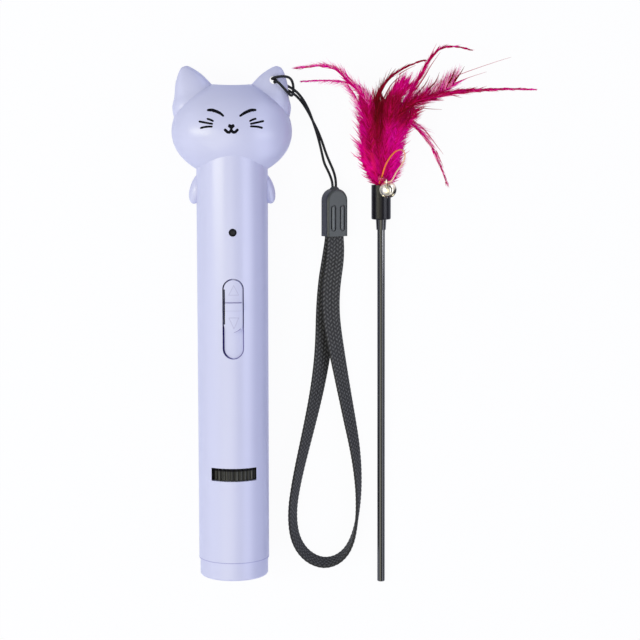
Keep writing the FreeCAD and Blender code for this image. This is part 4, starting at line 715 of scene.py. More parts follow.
# Each stroke gives its points from side to side and along the body, and its half width from end to end.
EYE_HALF, WHISKER_HALF, MOUTH_HALF = (0.46, 0.64, 0.6, 0.4), (0.44, 0.41), (0.58, 0.58)
OUTER_LASH, INNER_LASH, NOSE_HALF = (0.22, 0.2), (0.24, 0.2), (0.7, 0.42)
FACE = [
    ([(-8.8, 178.25), (-7.8, 178.4), (-6.5, 178.05), (-5.1, 177.5), (-4.0, 176.9), (-3.3, 176.2)], EYE_HALF),
    ([(8.6, 178.3), (7.6, 178.4), (6.3, 178.0), (5.0, 177.4), (3.9, 176.8), (3.05, 176.15)], EYE_HALF),
    ([(-8.3, 178.1), (-8.05, 177.85)], OUTER_LASH), ([(-7.05, 177.95), (-6.85, 177.6)], INNER_LASH),
    ([(8.0, 178.1), (7.85, 177.85)], OUTER_LASH), ([(6.75, 177.9), (6.6, 177.6)], INNER_LASH),
    ([(-8.9, 175.0), (-8.0, 174.8), (-7.1, 174.3)], WHISKER_HALF),
    ([(-11.9, 174.05), (-9.6, 173.6), (-7.4, 173.25)], WHISKER_HALF),
    ([(-11.4, 171.7), (-9.7, 172.3), (-7.5, 172.2)], WHISKER_HALF),
    ([(8.6, 175.05), (7.7, 174.9), (6.7, 174.3)], WHISKER_HALF),
    ([(11.4, 174.2), (9.2, 173.7), (7.0, 173.25)], WHISKER_HALF),
    ([(10.95, 171.8), (9.3, 172.3), (7.0, 172.3)], WHISKER_HALF),
    ([(-0.82, 172.45), (-0.3, 171.5)], NOSE_HALF), ([(0.24, 172.45), (-0.3, 171.5)], NOSE_HALF),
    ([(-0.95, 172.35), (0.38, 172.35)], MOUTH_HALF), ([(-0.3, 172.4), (-0.3, 170.75)], (0.5, 0.46)),
    ([(-0.35, 170.9), (-0.8, 170.15), (-1.7, 170.05), (-2.5, 170.95)], MOUTH_HALF),
    ([(-0.25, 170.9), (0.2, 170.15), (1.1, 170.05), (1.9, 170.95)], MOUTH_HALF),
]
ARROW_HALF = (0.13, 0.13)
ARROWS_AND_RIB_SHADE = [
    ([(-1.7, 109.65), (0.2, 113.2)], ARROW_HALF), ([(2.1, 109.65), (0.2, 113.2)], ARROW_HALF),
    ([(-1.7, 109.65), (2.1, 109.65)], ARROW_HALF), ([(-1.65, 101.1), (0.25, 97.0)], ARROW_HALF),
    ([(2.1, 101.1), (0.25, 97.0)], ARROW_HALF), ([(-1.65, 101.1), (2.1, 101.1)], ARROW_HALF),
    # Painted shade: a faint line along the rib's lower edge.
    ([(-2.9, 103.75), (2.9, 103.75)], (0.14, 0.14)),
]
GRIP_HALF = (0.52, 0.52)
GRIPS = [([(38.86, 133.3), (38.86, 141.1)], GRIP_HALF), ([(42.39, 133.3), (42.39, 141.1)], GRIP_HALF)]
BELL_SIDE, BELL_PLACE = middle_of("bell_shell")
# Painted shade: a dark curved line on the bell for the shaded opening of its slot.
BELL_CUT = [(0.2, 1.6), (0.95, 0.9), (1.2, 0.1), (0.9, -0.9)]
BELL_SLOT_SHADE = [([(BELL_SIDE + side, BELL_PLACE + along) for side, along in BELL_CUT], (0.16, 0.24, 0.2))]
RIB_SHADOW = [([(-2.95, 106.78), (2.95, 106.78)], (0.2, 0.2))]
# Painted shade: a dark line down the button's left edge, along the gap beside it.
BUTTON_EDGE_SHADE = [([(-3.26, 98.8), (-3.26, 105.0), (-3.26, 111.6)], (0.22, 0.23, 0.23, 0.22))]
# Painted shade: a soft line at the button's foot, on its lower right.
BUTTON_FOOT_SHADE = [([(0.3, 95.62), (1.6, 95.98), (2.7, 96.95)], (0.06, 0.12, 0.16))]
# A height above every surface, and the step along a stroke.
IN_FRONT, STROKE_STEP = 40.0, 0.1
# Where a round end has its rings, as shares of the half width beyond the route, and how narrow the last
# ring may be, as the square of such a share.
ROUND_END, LEAST_END = (1.0, 0.7, 0.35), 0.03


def surface_of(name):
    """A node's surface, to lay lines on."""
    shape = bmesh.new()
    shape.from_mesh(nodes[name].data)
    tree = BVHTree.FromBMesh(shape)
    shape.free()
    return tree


def laid_on(surface, place):
    """The point of a surface that is behind a place, in millimetres, and the way out of it there."""
    above = Vector((place.x, place.y, IN_FRONT)) * MM
    spot, normal, _, _ = surface.ray_cast(above, Vector((0, 0, -1)))
    return spot / MM, normal if normal.z > 0 else -normal


def ink_lines(name, surface, lines):
    """Raised strokes with round ends, laid on a surface."""
    points, faces = [], []
    for corners, halves in lines:
        route = resampled(smooth_route([(side, along, 0) for side, along in corners]), STROKE_STEP)
        ways = headings(route)
        first = [route[0] - ways[0] * halves[0] * share for share in ROUND_END]
        last = [route[-1] + ways[-1] * halves[-1] * share for share in ROUND_END[::-1]]
        route = first + route + last
        reached = lengths(route)
        rings = []
        for point, way, place in zip(route, headings(route), reached):
            half = np.interp(place / reached[-1], np.linspace(0, 1, len(halves)), halves)
            end = min(place, reached[-1] - place) / half
            half *= math.sqrt(max(LEAST_END, 1 - max(0.0, 1 - end) ** 2))
            across = Vector((way.y, -way.x, 0)) * half
            ring = []
            for share, lift in INK_SECTION:
                spot, out = laid_on(surface, point + across * share)
                ring.append(spot + out * lift)
            rings.append(ring)
        base = len(points)
        faces += [tuple(base + corner for corner in face) for face in skin(rings, looped=False)]
        points += [point for ring in rings for point in ring]
    return mesh_of(name, points, faces)


# The slot: its middle along the body, its half width, half its straight length, and its floor's radius.
SLOT_CENTRE, SLOT_HALF, SLOT_STRAIGHT, SLOT_FLOOR = 100.6, 4.0, 11.2, 12.3
GAP_STEPS = 120
# How far the gap's line stands above the floor, reaches below it and into the wall, and slopes.
GAP_RISE, GAP_SINK, GAP_LAP, GAP_SLOPE = 0.05, 0.05, 0.02, 0.47
# Its least width, how much wider it is on the right, and how much higher it climbs the wall on the left.
GAP_WIDTH, GAP_WIDER_RIGHT, GAP_CLIMB = 0.14, 0.14, 0.75
# In the upper and the lower half: how much wider it is on the left, and darker on the left and right.
UPPER_GAP, LOWER_GAP = (0.5, 0.95, 0.62), (0.58, 0.75, 0.35)


def painted_slot_shade():
    """Painted shade in the gap along the slot's wall: wide and deep on the left, thin elsewhere."""
    rings, tones = [], []
    for angle in full_turn(GAP_STEPS):
        across, along = math.cos(angle), math.sin(angle)
        out = Vector((across, along, 0))
        left, right = max(0.0, -across) ** 0.6, max(0.0, across) ** 0.6
        wider, dark_left, dark_right = LOWER_GAP if along < 0 else UPPER_GAP
        middle = SLOT_CENTRE + math.copysign(SLOT_STRAIGHT, along)
        edge = Vector((SLOT_HALF * across, middle + SLOT_HALF * along, 0))
        inner = edge - out * (GAP_WIDTH + left * wider + right * GAP_WIDER_RIGHT)
        wall = edge + out * GAP_LAP
        foot = wall + (inner - wall) * min(1.0, GAP_SLOPE / (inner - wall).length)
        section = (
            (inner, -GAP_SINK), (inner, GAP_RISE), (foot, GAP_RISE), (wall, GAP_RISE + GAP_CLIMB * left),
            (wall, -GAP_SINK),
        )
        ring = []
        for place, lift in section:
            height = math.sqrt(SLOT_FLOOR ** 2 - place.x ** 2) + lift
            ring.append(Vector((place.x, place.y, height)))
        rings.append(ring)
        tones += [1.0 - left * dark_left - right * dark_right] * len(section)
    return ring_mesh("painted_slot_shade", rings, looped=True, tone=tones)


def painted_gap_shade():
    """Violet shade that is deepest where the tone is low."""
    finish = Finish("gap_shade")
    colour = finish.node("ValToRGB", {0: finish.value("tone")}, stops=[
        (0.0, srgb(6, 3, 30)), (0.3, srgb(50, 40, 104)), (0.7, srgb(118, 112, 172)),
        (1.0, srgb(164, 162, 208)),
    ])
    return finish.surface(
        Base_Color=colour, Roughness=0.7 + finish.noise(400.0) * 0.1, Specular_IOR_Level=0.1,
    )


SEAM_PLACE, SEAM_STEPS = 7.1, 160
# The corners of the seam's line: how far out of the body's side each lies, and how far along it.
SEAM_SECTION = ((-0.06, -0.16), (0.02, -0.12), (0.02, 0.12), (-0.06, 0.16))


def cap_seam():
    """The shadow line where the end cap meets the shells."""
    rings = []
    for angle in full_turn(SEAM_STEPS):
        ring = []
        for out, along in SEAM_SECTION:
            radius = BODY_RADIUS + out
            ring.append(Vector((radius * math.cos(angle), SEAM_PLACE + along, radius * math.sin(angle))))
        rings.append(ring)
    return ring_mesh("cap_seam", rings, looped=True)


def add_strokes(name, node, strokes, finish, body, slot):
    add_piece(name, ink_lines(name, surface_of(node), strokes), finish, body, slot)


# Ink of the printed face, also the painted shade of the bell's slot.
face_ink_and_slot_shade = moulded("face_ink_and_slot_shade", srgb(2, 2, 12), 0.6, 0.003, gloss=0.12)
# Painted shade colour of the dark line at the button's edge.
gap_shade_black = moulded("gap_shade_black", srgb(8, 5, 32), 0.7, 0.003, gloss=0.1)
# Colour of the printed arrows and of the painted shade line along the rib's lower edge.
mark_and_shade_lilac = moulded("mark_and_shade_lilac", srgb(184, 184, 218), 0.4, 0.004)
# Painted shade colour of the lines under the rib's upper edge and at the button's foot.
painted_shade_lilac = moulded("painted_shade_lilac", srgb(134, 130, 186), 0.45, 0.004)
seam_lilac = moulded("seam_lilac", srgb(160, 160, 210), 0.45, 0.004)
add_strokes("face_lines", "front_shell", FACE, face_ink_and_slot_shade, "root", "dark_plastic")
add_strokes("button_arrows_and_rib_shade", "switch_button", ARROWS_AND_RIB_SHADE, mark_and_shade_lilac, "switch", "casing")
add_strokes("button_rib_line", "switch_button", RIB_SHADOW, painted_shade_lilac, "switch", "casing")
add_strokes("button_edge_shade", "switch_button", BUTTON_EDGE_SHADE, gap_shade_black, "switch", "casing")
add_strokes("button_foot_shade", "switch_button", BUTTON_FOOT_SHADE, painted_shade_lilac, "switch", "casing")
# Painted shade: a dark line on the slot's floor along its wall.
add_piece("painted_slot_shade", painted_slot_shade(), painted_gap_shade(), "root", "casing")
add_piece("cap_seam", cap_seam(), seam_lilac, "root", "casing")
add_strokes("grip_pads", "strap_ferrule", GRIPS, grip_grey, "root", "ferrule")
add_strokes("bell_slot", "bell_shell", BELL_SLOT_SHADE, face_ink_and_slot_shade, "bell", "bell")

# ---------------------------------------------------------------- feathers

# Where the foot of the wand's axis lies and how the wand is turned, and the sleeve's mouth on that axis.
WAND_PLACE = Vector((58.3, -7.3, -12.0))
WAND_TURN = Matrix.Rotation(math.radians(0.3), 3, "Z") @ Matrix.Rotation(math.radians(0.8958), 3, "X")
SLEEVE_TOP = 157.2
SHAFT_SIDES, SHAFT_STEP = 6, 0.5
# The shares of a barb's length at its rings, the width that it loses, its ridge's height as a share of its
# half width, and how much paler it ends than it starts, as painted shade at its foot.
BARB_STEPS = np.array([0.0, 0.3, 0.6, 0.85, 1.0])
BARB_LOSS, BARB_RIDGE, BARB_PALING = 0.94, 0.6, 0.06
# How barbs differ, as a mean and a deviation: angle in degrees, lean, start beside and above the shaft,
# twist and tone. Length and bend have a range.
ANGLE_VARY, LEAN_VARY, TWIST_VARY, TONE_VARY = (0, 6), (0.02, 0.16), (0, 0.5), (0, 0.11)
START_VARY = ((0, 0.12), (0, 0.2))
LENGTH_RANGE, BEND_RANGE = (0.55, 1.1), (0.3, 1.5)
# The sides that barbs leave on, seen from the shaft's foot to its tip.
LEFT, RIGHT, BOTH = (-1,), (1,), (-1, 1)
# How high above the table the lowest down lies.
LEAST_LIFT = 0.05

# Every place below is given beside the wand's middle, above the sleeve's mouth and in front of the axis.
# The tuft's plain tone and its palest, and how strong the dye is where it is darker or brighter: side,
# along, half width, half length, and the tone there.
PLAIN_TONE, PALEST_TUFT, DYE_STRENGTH = 0.54, 0.84, 3
DYE = [
    (-2.0, 27.0, 1.9, 9.0, 0.0), (-2.4, 19.5, 1.5, 4.0, 0.22), (-4.8, 18.0, 2.2, 6.0, 0.4),
    (-2.4, 13.0, 1.8, 3.0, 0.42), (-0.4, 7.8, 2.6, 6.0, 0.48), (-9.0, 16.0, 2.0, 10.0, 0.8),
    (-5.2, 6.0, 2.2, 4.0, 0.68), (6.4, 7.0, 3.0, 6.0, 0.84), (5.4, 1.5, 2.0, 3.0, 0.88),
    (8.5, 31.0, 7.0, 4.0, 0.14), (1.6, 30.0, 2.6, 5.0, 0.16), (7.3, 26.7, 2.6, 2.6, 0.25),
    (6.5, 38.4, 4.0, 3.6, 0.6), (-6.4, 28.0, 2.2, 7.0, 0.46), (5.0, 17.0, 3.4, 5.0, 0.68),
]

HEART_RINGS, HEART_SIDES, HEART_DARKER = 40, 36, 0.08
# The tuft's solid heart: along, side, height, half width and half depth of each of its stations.
HEART = [
    (-4.0, 0, 0, 1.9, 1.9), (0.2, 0, 0, 2.1, 2.1), (3, -0.2, 0.4, 4.2, 3.2), (7.5, -0.8, 1.0, 6.4, 4.0),
    (13, -0.8, 1.4, 7.4, 4.4), (19, 0.3, 1.8, 7.6, 4.6), (25, 1.3, 2.2, 7.0, 4.4), (30, 2.0, 2.4, 4.6, 3.2),
    (33, 2.0, 2.4, 1.6, 1.2),
]

# The tuft's feathers: the shaft's points, the barbs' length at the foot and the tip, and their spread
# from the shaft in degrees there.
TUFT = [
    ([(-1, 0, 1), (-4.6, 8, 2.6), (-6.4, 18, 3.2), (-7.0, 28, 2.6)], (4.0, 5.2), (42, 44)),
    ([(-0.8, 0, 2), (-3.8, 10, 4.6), (-5.0, 20, 5.6), (-5.8, 31, 4.6)], (5.0, 5.5), (36, 34)),
    ([(-0.3, 0, 3), (-1.6, 12, 6.2), (-2.2, 22, 7.2), (-2.6, 33, 6.6)], (4.5, 4.0), (26, 18)),
    ([(0, 0, 3), (0.8, 11, 6.4), (2, 22, 7.4), (3.5, 31, 6.6)], (5.0, 5.0), (30, 26)),
    ([(0.5, 0, 2.5), (3.6, 10, 5.9), (5.6, 20, 6.6), (7.0, 29, 5.6)], (5.0, 5.5), (36, 34)),
    ([(1, 0, 1.5), (4.6, 8.5, 3.6), (6.0, 18, 4.2), (9.2, 28, 3.6)], (4.0, 4.5), (48, 52)),
    ([(-1, 0, 0.5), (-4.0, 4, 2), (-6.2, 9, 2.6), (-7.4, 15, 2.6)], (3.6, 4.4), (44, 46)),
    ([(1, 0, 0.5), (3.8, 4, 2), (5.2, 9, 2.6), (6.0, 15.5, 2.6)], (4.0, 4.5), (42, 44)),
    ([(1, 20, 7), (3, 29, 7.4), (5.6, 35.5, 7.6), (7.6, 38.6, 7.4)], (5.0, 5.0), (26, 16)),
    ([(2, 22, 6.6), (4.2, 29, 7.0), (6.4, 33.5, 7.2), (9.0, 37.0, 7.0)], (4.5, 5.5), (24, 14)),
    ([(0.6, 22, 6.6), (1.6, 30, 7.0), (3.2, 34.5, 7.2), (5.4, 37.8, 7.0)], (4.5, 4.5), (24, 14)),
    ([(0.6, -0.5, 2.2), (2.6, 2, 3.2), (4.4, 4.6, 3.6), (5.6, 8, 3.4)], (3.6, 4.0), (46, 50)),
    ([(2, 20, 6.5), (6, 27.5, 6.9), (11, 31.2, 6.3), (15.4, 33.6, 5.6)], (5.0, 4.5), (28, 22)),
    ([(3, 13, 5), (7, 19.6, 5.6), (10.2, 24.0, 5.4), (12.4, 28.4, 5.0)], (4.0, 4.4), (44, 40)),
    ([(-4, 16, 4), (-6.4, 24, 4.3), (-7.4, 29.5, 3.8), (-7.6, 33.0, 3.2)], (5.0, 3.0), (34, 30)),
    ([(-0.8, 0, -0.5), (-4, 10, -2), (-5.5, 20, -2.6), (-5.5, 29, -2)], (5.0, 5.5), (40, 38)),
    ([(0.8, 0, -0.5), (4.4, 10, -2.2), (6.2, 20, -2.6), (7.6, 29, -2)], (4.5, 5.0), (40, 38)),
    ([(0, 0, -0.8), (0, 12, -2.6), (1, 24, -2.8), (1.5, 32, -2.2)], (5.0, 5.0), (38, 30)),
]

# The spikes that stand out of the tuft's edge: where each starts, its tip and its half width.
SPIKES = [
    ((-5.6, 14.0), (-12.4, 19.6), 0.42), ((-6.6, 20.6), (-11.6, 25.0), 0.36),
    ((-6.0, 8.6), (-12.0, 12.8), 0.42), ((-6.0, 12.4), (-10.8, 15.4), 0.34),
    ((-5.0, 6.0), (-8.9, 8.6), 0.34), ((-4.4, 2.6), (-7.9, 4.2), 0.3), ((-6.8, 18.0), (-11.2, 22.4), 0.3),
    ((-6.4, 10.8), (-11.2, 11.4), 0.28), ((8.8, 24.4), (15.2, 27.2), 0.34),
    ((7.6, 19.0), (12.6, 21.6), 0.34), ((6.4, 14.6), (10.9, 17.0), 0.32), ((6.0, 10.6), (10.6, 13.2), 0.32),
    ((5.4, 6.6), (9.4, 8.6), 0.32), ((4.0, 2.6), (7.4, 3.6), 0.3), ((9.6, 26.8), (14.6, 29.6), 0.3),
]


def dye(sides, alongs):
    """The tone of the dye at places on the tuft, from 0, dark crimson, to 1, pale pink."""
    total, weight = np.full(sides.shape, PLAIN_TONE), np.ones(sides.shape)
    for side, along, wide, long, tone in DYE:
        share = DYE_STRENGTH * np.exp(-((sides - side) / wide) ** 2 - ((alongs - along) / long) ** 2)
        total = total + share * tone
        weight = weight + share
    return total / weight


def unit(vectors):
    return vectors / np.linalg.norm(vectors, axis=-1, keepdims=True)


class Down:
    """Shafts and barbs of feathers, gathered in one mesh."""

    def __init__(self, seed):
        self.random = np.random.default_rng(seed)
        self.points, self.faces, self.tones = [], [], []
        self.count = 0

    def add(self, rings, tones):
        """Closed forms over rings: an array of forms, their rings, each ring's corners and their places."""
        forms, steps, corners, _ = rings.shape
        numbers = self.count + np.arange(forms * steps * corners).reshape(forms, steps, corners)
        after = np.roll(numbers, -1, axis=2)
        sides = np.stack([numbers[:, :-1], after[:, :-1], after[:, 1:], numbers[:, 1:]], axis=-1)
        self.faces += sides.reshape(-1, 4).tolist()
        self.faces += numbers[:, 0, ::-1].tolist() + numbers[:, -1].tolist()
        self.points.append(rings.reshape(-1, 3))
        self.tones.append(np.broadcast_to(tones, rings.shape[:3]).reshape(-1))
        self.count += numbers.size

    def shaft(self, route, foot, tip, tone):
        """A round shaft whose half width runs from foot to tip."""
        path = resampled(smooth_route(route), SHAFT_STEP)
        turns = np.linspace(0, 2 * math.pi, SHAFT_SIDES, endpoint=False)
        rings = []
        for point, (side, up), radius in zip(path, untwisted(path), np.linspace(foot, tip, len(path))):
            rings.append([point + (side * math.cos(turn) + up * math.sin(turn)) * radius for turn in turns])
        self.add(np.array(rings)[None], np.full((1, 1, 1), tone))

    def barbs(self, route, length, spread, tone=None, width=0.2, spacing=0.16, sides=BOTH, curl=0.3):
        """Narrow forms that leave the shaft on its sides and taper to their tips."""
        path = np.array(resampled(smooth_route(route), spacing))
        count = len(path)
        share = np.linspace(0, 1, count)
        way = unit(np.gradient(path, axis=0))
        up = unit(np.array([0, 0, 1.0]) - way * way[:, 2:])
        out = np.cross(way, up)
        draw = self.random
        steps = BARB_STEPS[None, :, None]
        half = (width * (1 - BARB_LOSS * BARB_STEPS) ** 0.8)[None, :, None]
        for sign in sides:
            angle = np.radians(np.interp(share, (0, 1), spread) + draw.normal(*ANGLE_VARY, count))[:, None]
            reach = np.interp(share, (0, 1), length) * draw.uniform(*LENGTH_RANGE, count)
            lean = draw.normal(*LEAN_VARY, count)[:, None]
            heading = unit(way * np.cos(angle) + out * sign * np.sin(angle) + up * lean)
            beside, above = [draw.normal(*vary, (count, 1)) for vary in START_VARY]
            start = path + out * beside + up * above
            bend = curl * draw.uniform(*BEND_RANGE, count)[:, None, None]
            run = heading[:, None] * steps + way[:, None] * bend * steps ** 2
            centre = start[:, None] + reach[:, None, None] * run
            twist = draw.normal(*TWIST_VARY, count)[:, None]
            tilted = unit(np.cross(heading, up)) * np.cos(twist) + up * np.sin(twist)
            normal = unit(np.cross(tilted, heading)) * BARB_RIDGE
            rings = np.stack([
                centre + tilted[:, None] * half, centre + normal[:, None] * half,
                centre - tilted[:, None] * half,
            ], axis=2)
            if tone is None:
                tones = dye(centre[..., 0], centre[..., 1])
            else:
                tones = np.interp(share, (0, 1), tone)[:, None]
            # Painted shade: each barb is darker at its foot than at its tip.
            tones = tones + BARB_STEPS * BARB_PALING + draw.normal(*TONE_VARY, count)[:, None]
            if tone is None:
                tones = np.minimum(tones, PALEST_TUFT)
            self.add(rings, tones[:, :, None])

    def heart(self):
        """The closed form inside the tuft, through its stations."""
        stations = np.array(HEART).T
        places = np.linspace(stations[0, 0], stations[0, -1], HEART_RINGS)
        along, side, height, wide, deep = [
            np.interp(places, stations[0], column)[:, None] for column in stations
        ]
        turns = np.linspace(0, 2 * math.pi, HEART_SIDES, endpoint=False)
        rings = np.stack([
            side + wide * np.cos(turns), along + 0 * turns, height - deep * np.sin(turns),
        ], axis=-1)
        self.add(rings[None], dye(rings[..., 0], rings[..., 1])[None] - HEART_DARKER)

    def mesh(self, name):
        """The gathered forms in place on the wand, and none of them in the table."""
        points = np.concatenate(self.points)
        points[:, 1] += SLEEVE_TOP
        placed = points @ np.array(WAND_TURN).T + np.array(WAND_PLACE)
        placed[:, 2] = np.maximum(placed[:, 2], TABLE + LEAST_LIFT)
        return mesh_of(name, placed.tolist(), self.faces, tone=np.concatenate(self.tones))


def dyed_with_painted_glow():
    """Dyed down, from dark crimson at a tone of 0 to pale pink at 1; it has a faint painted glow."""
    finish = Finish("dyed_feather_painted_glow")
    tone = finish.value("tone") + (finish.noise(1400.0, 3.0) - 0.5) * 0.3
    colour = finish.node("ValToRGB", {0: tone}, stops=[
        (0.0, srgb(92, 0, 6)), (0.22, srgb(146, 0, 34)), (0.45, srgb(196, 0, 84)),
        (0.66, srgb(230, 0, 144)), (0.86, srgb(253, 0, 190)), (1.0, srgb(252, 178, 208)),
    ])
    return finish.surface(
        # Painted light: a faint glow in the down's own colour.
        Base_Color=colour, Emission_Color=colour, Emission_Strength=0.07,
        Roughness=0.62 + finish.noise(800.0) * 0.1, Specular_IOR_Level=0.1,
    )


DYED_PAINTED_GLOW = dyed_with_painted_glow()

TUFT_SEED, PLUME_SEED = 11, 31
# The tuft's shafts: half widths at the foot and the tip, and tone.
TUFT_SHAFT = (0.22, 0.08, 0.4)
# The spikes: their heights at the foot, the middle and the tip, how far the middle sags, and the tone.
SPIKE_HEIGHTS, SPIKE_SAG, SPIKE_TONE = (2.0, 3.2, 3.6), 0.7, 0.62
FINE_TIP = 0.04


def add_tuft():
    down = Down(TUFT_SEED)
    down.heart()
    for route, length, spread in TUFT:
        down.shaft(route, *TUFT_SHAFT)
        down.barbs(route, length, spread)
    for (side, along), (tip_side, tip_along), half in SPIKES:
        middle_side, middle_along = (side + tip_side) / 2, (along + tip_along) / 2 - SPIKE_SAG
        route = zip((side, middle_side, tip_side), (along, middle_along, tip_along), SPIKE_HEIGHTS)
        down.shaft(list(route), half, FINE_TIP, SPIKE_TONE)
    add_piece("tuft_down", down.mesh("tuft_down"), DYED_PAINTED_GLOW, "wand", "feather", "feather_tuft")


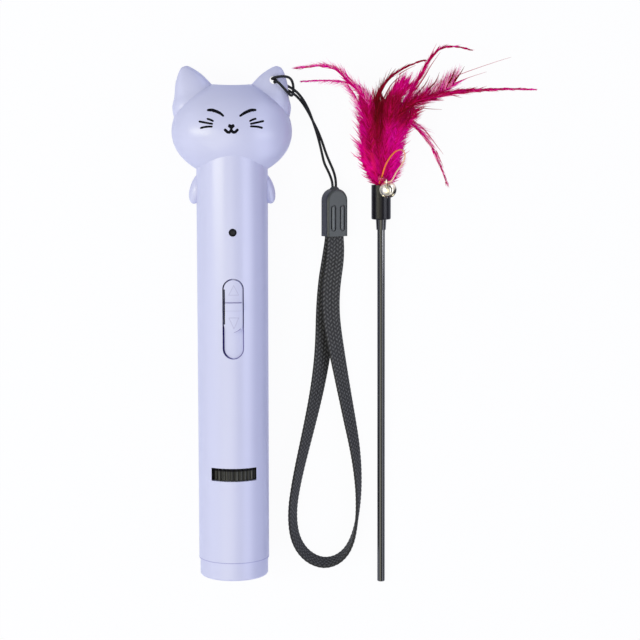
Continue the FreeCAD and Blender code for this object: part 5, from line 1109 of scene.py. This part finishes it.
# The long plumes. Each has its shaft's points, half widths and tone; its sets of barbs, with length, spread
# and tone at the foot and the tip, half width, spacing, sides and curl; and the strands beside its shaft,
# with points, half width and tone.
PLUMES = {
    "plume_far_left": {
        "shaft": [
            (-3, 28, 4.0), (-8.0, 35.4, 4.8), (-12.4, 38.9, 5.2), (-15.0, 42.0, 5.6), (-18, 44.3, 5.8),
            (-23.5, 45.6, 5.4), (-28, 45.1, 4.8), (-32.4, 44.6, 4.0),
        ],
        "half": (0.4, 0.12), "tone": 0.5,
        "barbs": [
            ((5.0, 1.4), (12, 5), (0.6, 0.5), 0.16, 0.2),
            ((7.0, 2.0), (34, 8), (0.96, 0.9), 0.14, 0.24, RIGHT),
        ],
        "strands": [
            ([(-11.6, 39.6, 5.4), (-14.0, 42.4, 5.8), (-18.4, 45.6, 6.0), (-24.0, 46.4, 5.6)], 0.3, 0.46),
        ],
    },
    "plume_left": {
        "shaft": [
            (-1.5, 27, 0.6), (-4.2, 33.6, 0.7), (-7.5, 37.2, 0.8), (-12.2, 38.9, 0.9), (-18, 39.9, 0.9),
            (-25, 40.0, 0.4), (-30.4, 39.7, -0.2),
        ],
        "half": (0.4, 0.1), "tone": 0.62,
        "barbs": [
            ((4.0, 0.8), (10, 3), (0.6, 0.76), 0.14, 0.24),
            ((6.0, 1.0), (76, 20), (0.78, 0.84), 0.12, 0.5, LEFT),
        ],
    },
    "plume_short_left": {
        "shaft": [(-6.2, 24, 4.2), (-8.6, 30.6, 4.5), (-10.8, 34.6, 4.5), (-13.2, 38.3, 4.2)],
        "half": (0.35, 0.12), "tone": 0.56,
        "barbs": [
            ((2.5, 1.0), (6, 3), (0.6, 0.62), 0.14, 0.3),
            ((7.0, 3.4), (30, 26), (0.95, 0.97), 0.13, 0.3, LEFT),
        ],
    },
    "plume_crown": {
        "shaft": [
            (-2.4, 22, 7.0), (-2.2, 31, 7.4), (-0.8, 36.3, 7.7), (1.2, 39.4, 7.9), (4.2, 42.3, 8.1),
            (7.7, 44.4, 8.2), (11.2, 45.9, 8.1), (14.1, 47.0, 7.8), (16.2, 47.3, 7.4),
        ],
        "half": (0.46, 0.08), "tone": 0.12,
        "barbs": [((8.0, 0.8), (12, 2), (0.0, 0.3), 0.17, 0.3)],
        "strands": [
            ([(0.3, 33, 7.5), (2.0, 36.8, 7.8), (4.6, 40.1, 8.0), (8.5, 42.6, 8.0)], 0.3, 0.1),
            ([(6.0, 42.0, 8.0), (8.6, 44.0, 8.0), (12.4, 45.4, 7.8)], 0.2, 0.3),
        ],
    },
    "plume_high_right": {
        "shaft": [
            (5, 26, 5.0), (9.2, 32.1, 5.4), (11.9, 37.4, 5.6), (14.8, 42.0, 5.8), (17.2, 46.4, 5.8),
            (19.6, 49.8, 5.6), (22.3, 51.8, 5.4), (25.8, 52.6, 5.0), (29.6, 52.4, 4.5), (33.8, 51.3, 3.8),
        ],
        "half": (0.5, 0.16), "tone": 0.44,
        "barbs": [
            ((6.5, 0.8), (14, 2), (0.5, 0.28), 0.17, 0.24),
            ((5.0, 1.5), (24, 8), (0.8, 0.7), 0.13, 0.5, LEFT),
        ],
        "strands": [
            ([(12.3, 35.9, 5.2), (15.8, 40.5, 5.4), (18.5, 45.7, 5.4), (22.1, 50.4, 5.2)], 0.34, 0.3),
            ([(16.4, 45.5, 5.8), (18.2, 49.0, 5.8), (19.6, 51.6, 5.6), (20.6, 53.6, 5.4)], 0.24, 0.5),
        ],
    },
    "plume_striped": {
        "shaft": [(7, 27, 2.0), (13.4, 31.0, 2.6), (18.4, 33.2, 2.8), (23.4, 35.6, 2.8), (28.2, 38.8, 2.6)],
        "half": (0.5, 0.2), "tone": 0.36,
        "barbs": [
            ((9.0, 7.4), (40, 42), (0.4, 0.34), 0.15, 0.2, LEFT, 0.05),
            ((9.0, 7.6), (42, 42), (0.94, 0.96), 0.16, 0.12, LEFT, 0.05),
            ((7.0, 4.6), (12, 14), (0.62, 0.8), 0.17, 0.24, RIGHT),
        ],
        "strands": [
            ([(13.1, 34.4, 4.2), (15.4, 37.0, 4.4), (17.2, 39.2, 4.4), (18.1, 41.7, 4.2)], 0.34, 0.08),
            ([(16.9, 35.9, 4.2), (19.4, 38.0, 4.4), (21.2, 40.4, 4.4), (21.9, 42.9, 4.2)], 0.42, 0.08),
            ([(25.6, 38.8, 4.2), (26.7, 40.8, 4.3), (27.6, 42.8, 4.2), (28.5, 44.8, 4.0)], 0.42, 0.08),
            ([(27.8, 39.6, 4.0), (29.4, 41.6, 4.0), (30.6, 43.4, 4.0), (31.6, 45.2, 3.8)], 0.42, 0.08),
            ([(28.4, 39.0, 2.6), (34, 41.2, 2.4), (40.4, 43.0, 2.0)], 0.12, 0.4),
            ([(28.8, 41.6, 2.6), (39, 45.4, 2.0), (50, 48.6, 1.0)], 0.12, 0.4),
        ],
    },
    "plume_right": {
        "shaft": [
            (3, 27, 4.6), (9.2, 30.1, 5.0), (14, 31.8, 5.2), (21.6, 34.2, 5.2), (28.9, 35.4, 5.0),
            (36.2, 36.1, 4.6), (43.5, 36.3, 4.0), (50.8, 36.5, 3.2), (59.4, 36.2, 2.2),
        ],
        "half": (0.6, 0.12), "tone": 0.5,
        "barbs": [
            ((8.0, 0.6), (14, 0), (0.26, 0.62), 0.2, 0.14, BOTH, 0.15),
            ((9.0, 1.0), (14, 4), (0.9, 0.9), 0.1, 0.6, RIGHT),
        ],
        "strands": [([(11.5, 29.8, 4.8), (14.6, 29.5, 4.6), (19, 28.9, 4.2), (23, 28.8, 3.8)], 0.22, 0.2)],
    },
    "plume_low_right": {
        "shaft": [
            (7, 25, 1.2), (11.0, 23.6, 1.5), (14.1, 21.4, 1.6), (16.7, 18.5, 1.6), (19.2, 15.0, 1.2),
            (21.2, 11.2, 0.6), (23.4, 6.2, 0.0), (25.8, 0.2, -0.8),
        ],
        "half": (0.4, 0.1), "tone": 0.4,
        "barbs": [
            ((4.5, 1.4), (8, 1.5), (0.62, 0.36), 0.15, 0.3),
            ((7.0, 1.4), (14, 4), (0.97, 0.95), 0.13, 0.24, LEFT),
        ],
        "strands": [
            ([(11.6, 24.6, 1.8), (15.4, 22.3, 1.8), (18.0, 19.4, 1.8), (20.2, 16.4, 1.6), (24.0, 11.6, 1.0)],
             0.36, 0.34),
            ([(21.2, 13.0, 0.9), (22.6, 10.0, 0.7), (24.2, 6.6, 0.2)], 0.24, 0.42),
            ([(19.4, 13.8, 1.0), (20.6, 11.0, 0.7), (21.6, 8.6, 0.4)], 0.18, 0.7),
        ],
    },
}
DARK_PLUMES = ("plume_crown", "plume_striped")


def add_plume(number, name, plume):
    down = Down(PLUME_SEED + number)
    down.shaft(plume["shaft"], *plume["half"], plume["tone"])
    for barbs in plume["barbs"]:
        down.barbs(plume["shaft"], *barbs)
    for route, half, tone in plume.get("strands", []):
        down.shaft(route, half, FINE_TIP, tone)
    slot = "feather_dark" if name in DARK_PLUMES else "feather"
    add_piece(name + "_barbs", down.mesh(name + "_barbs"), DYED_PAINTED_GLOW, "wand", slot, name)


add_tuft()
for number, (name, plume) in enumerate(PLUMES.items()):
    add_plume(number, name, plume)
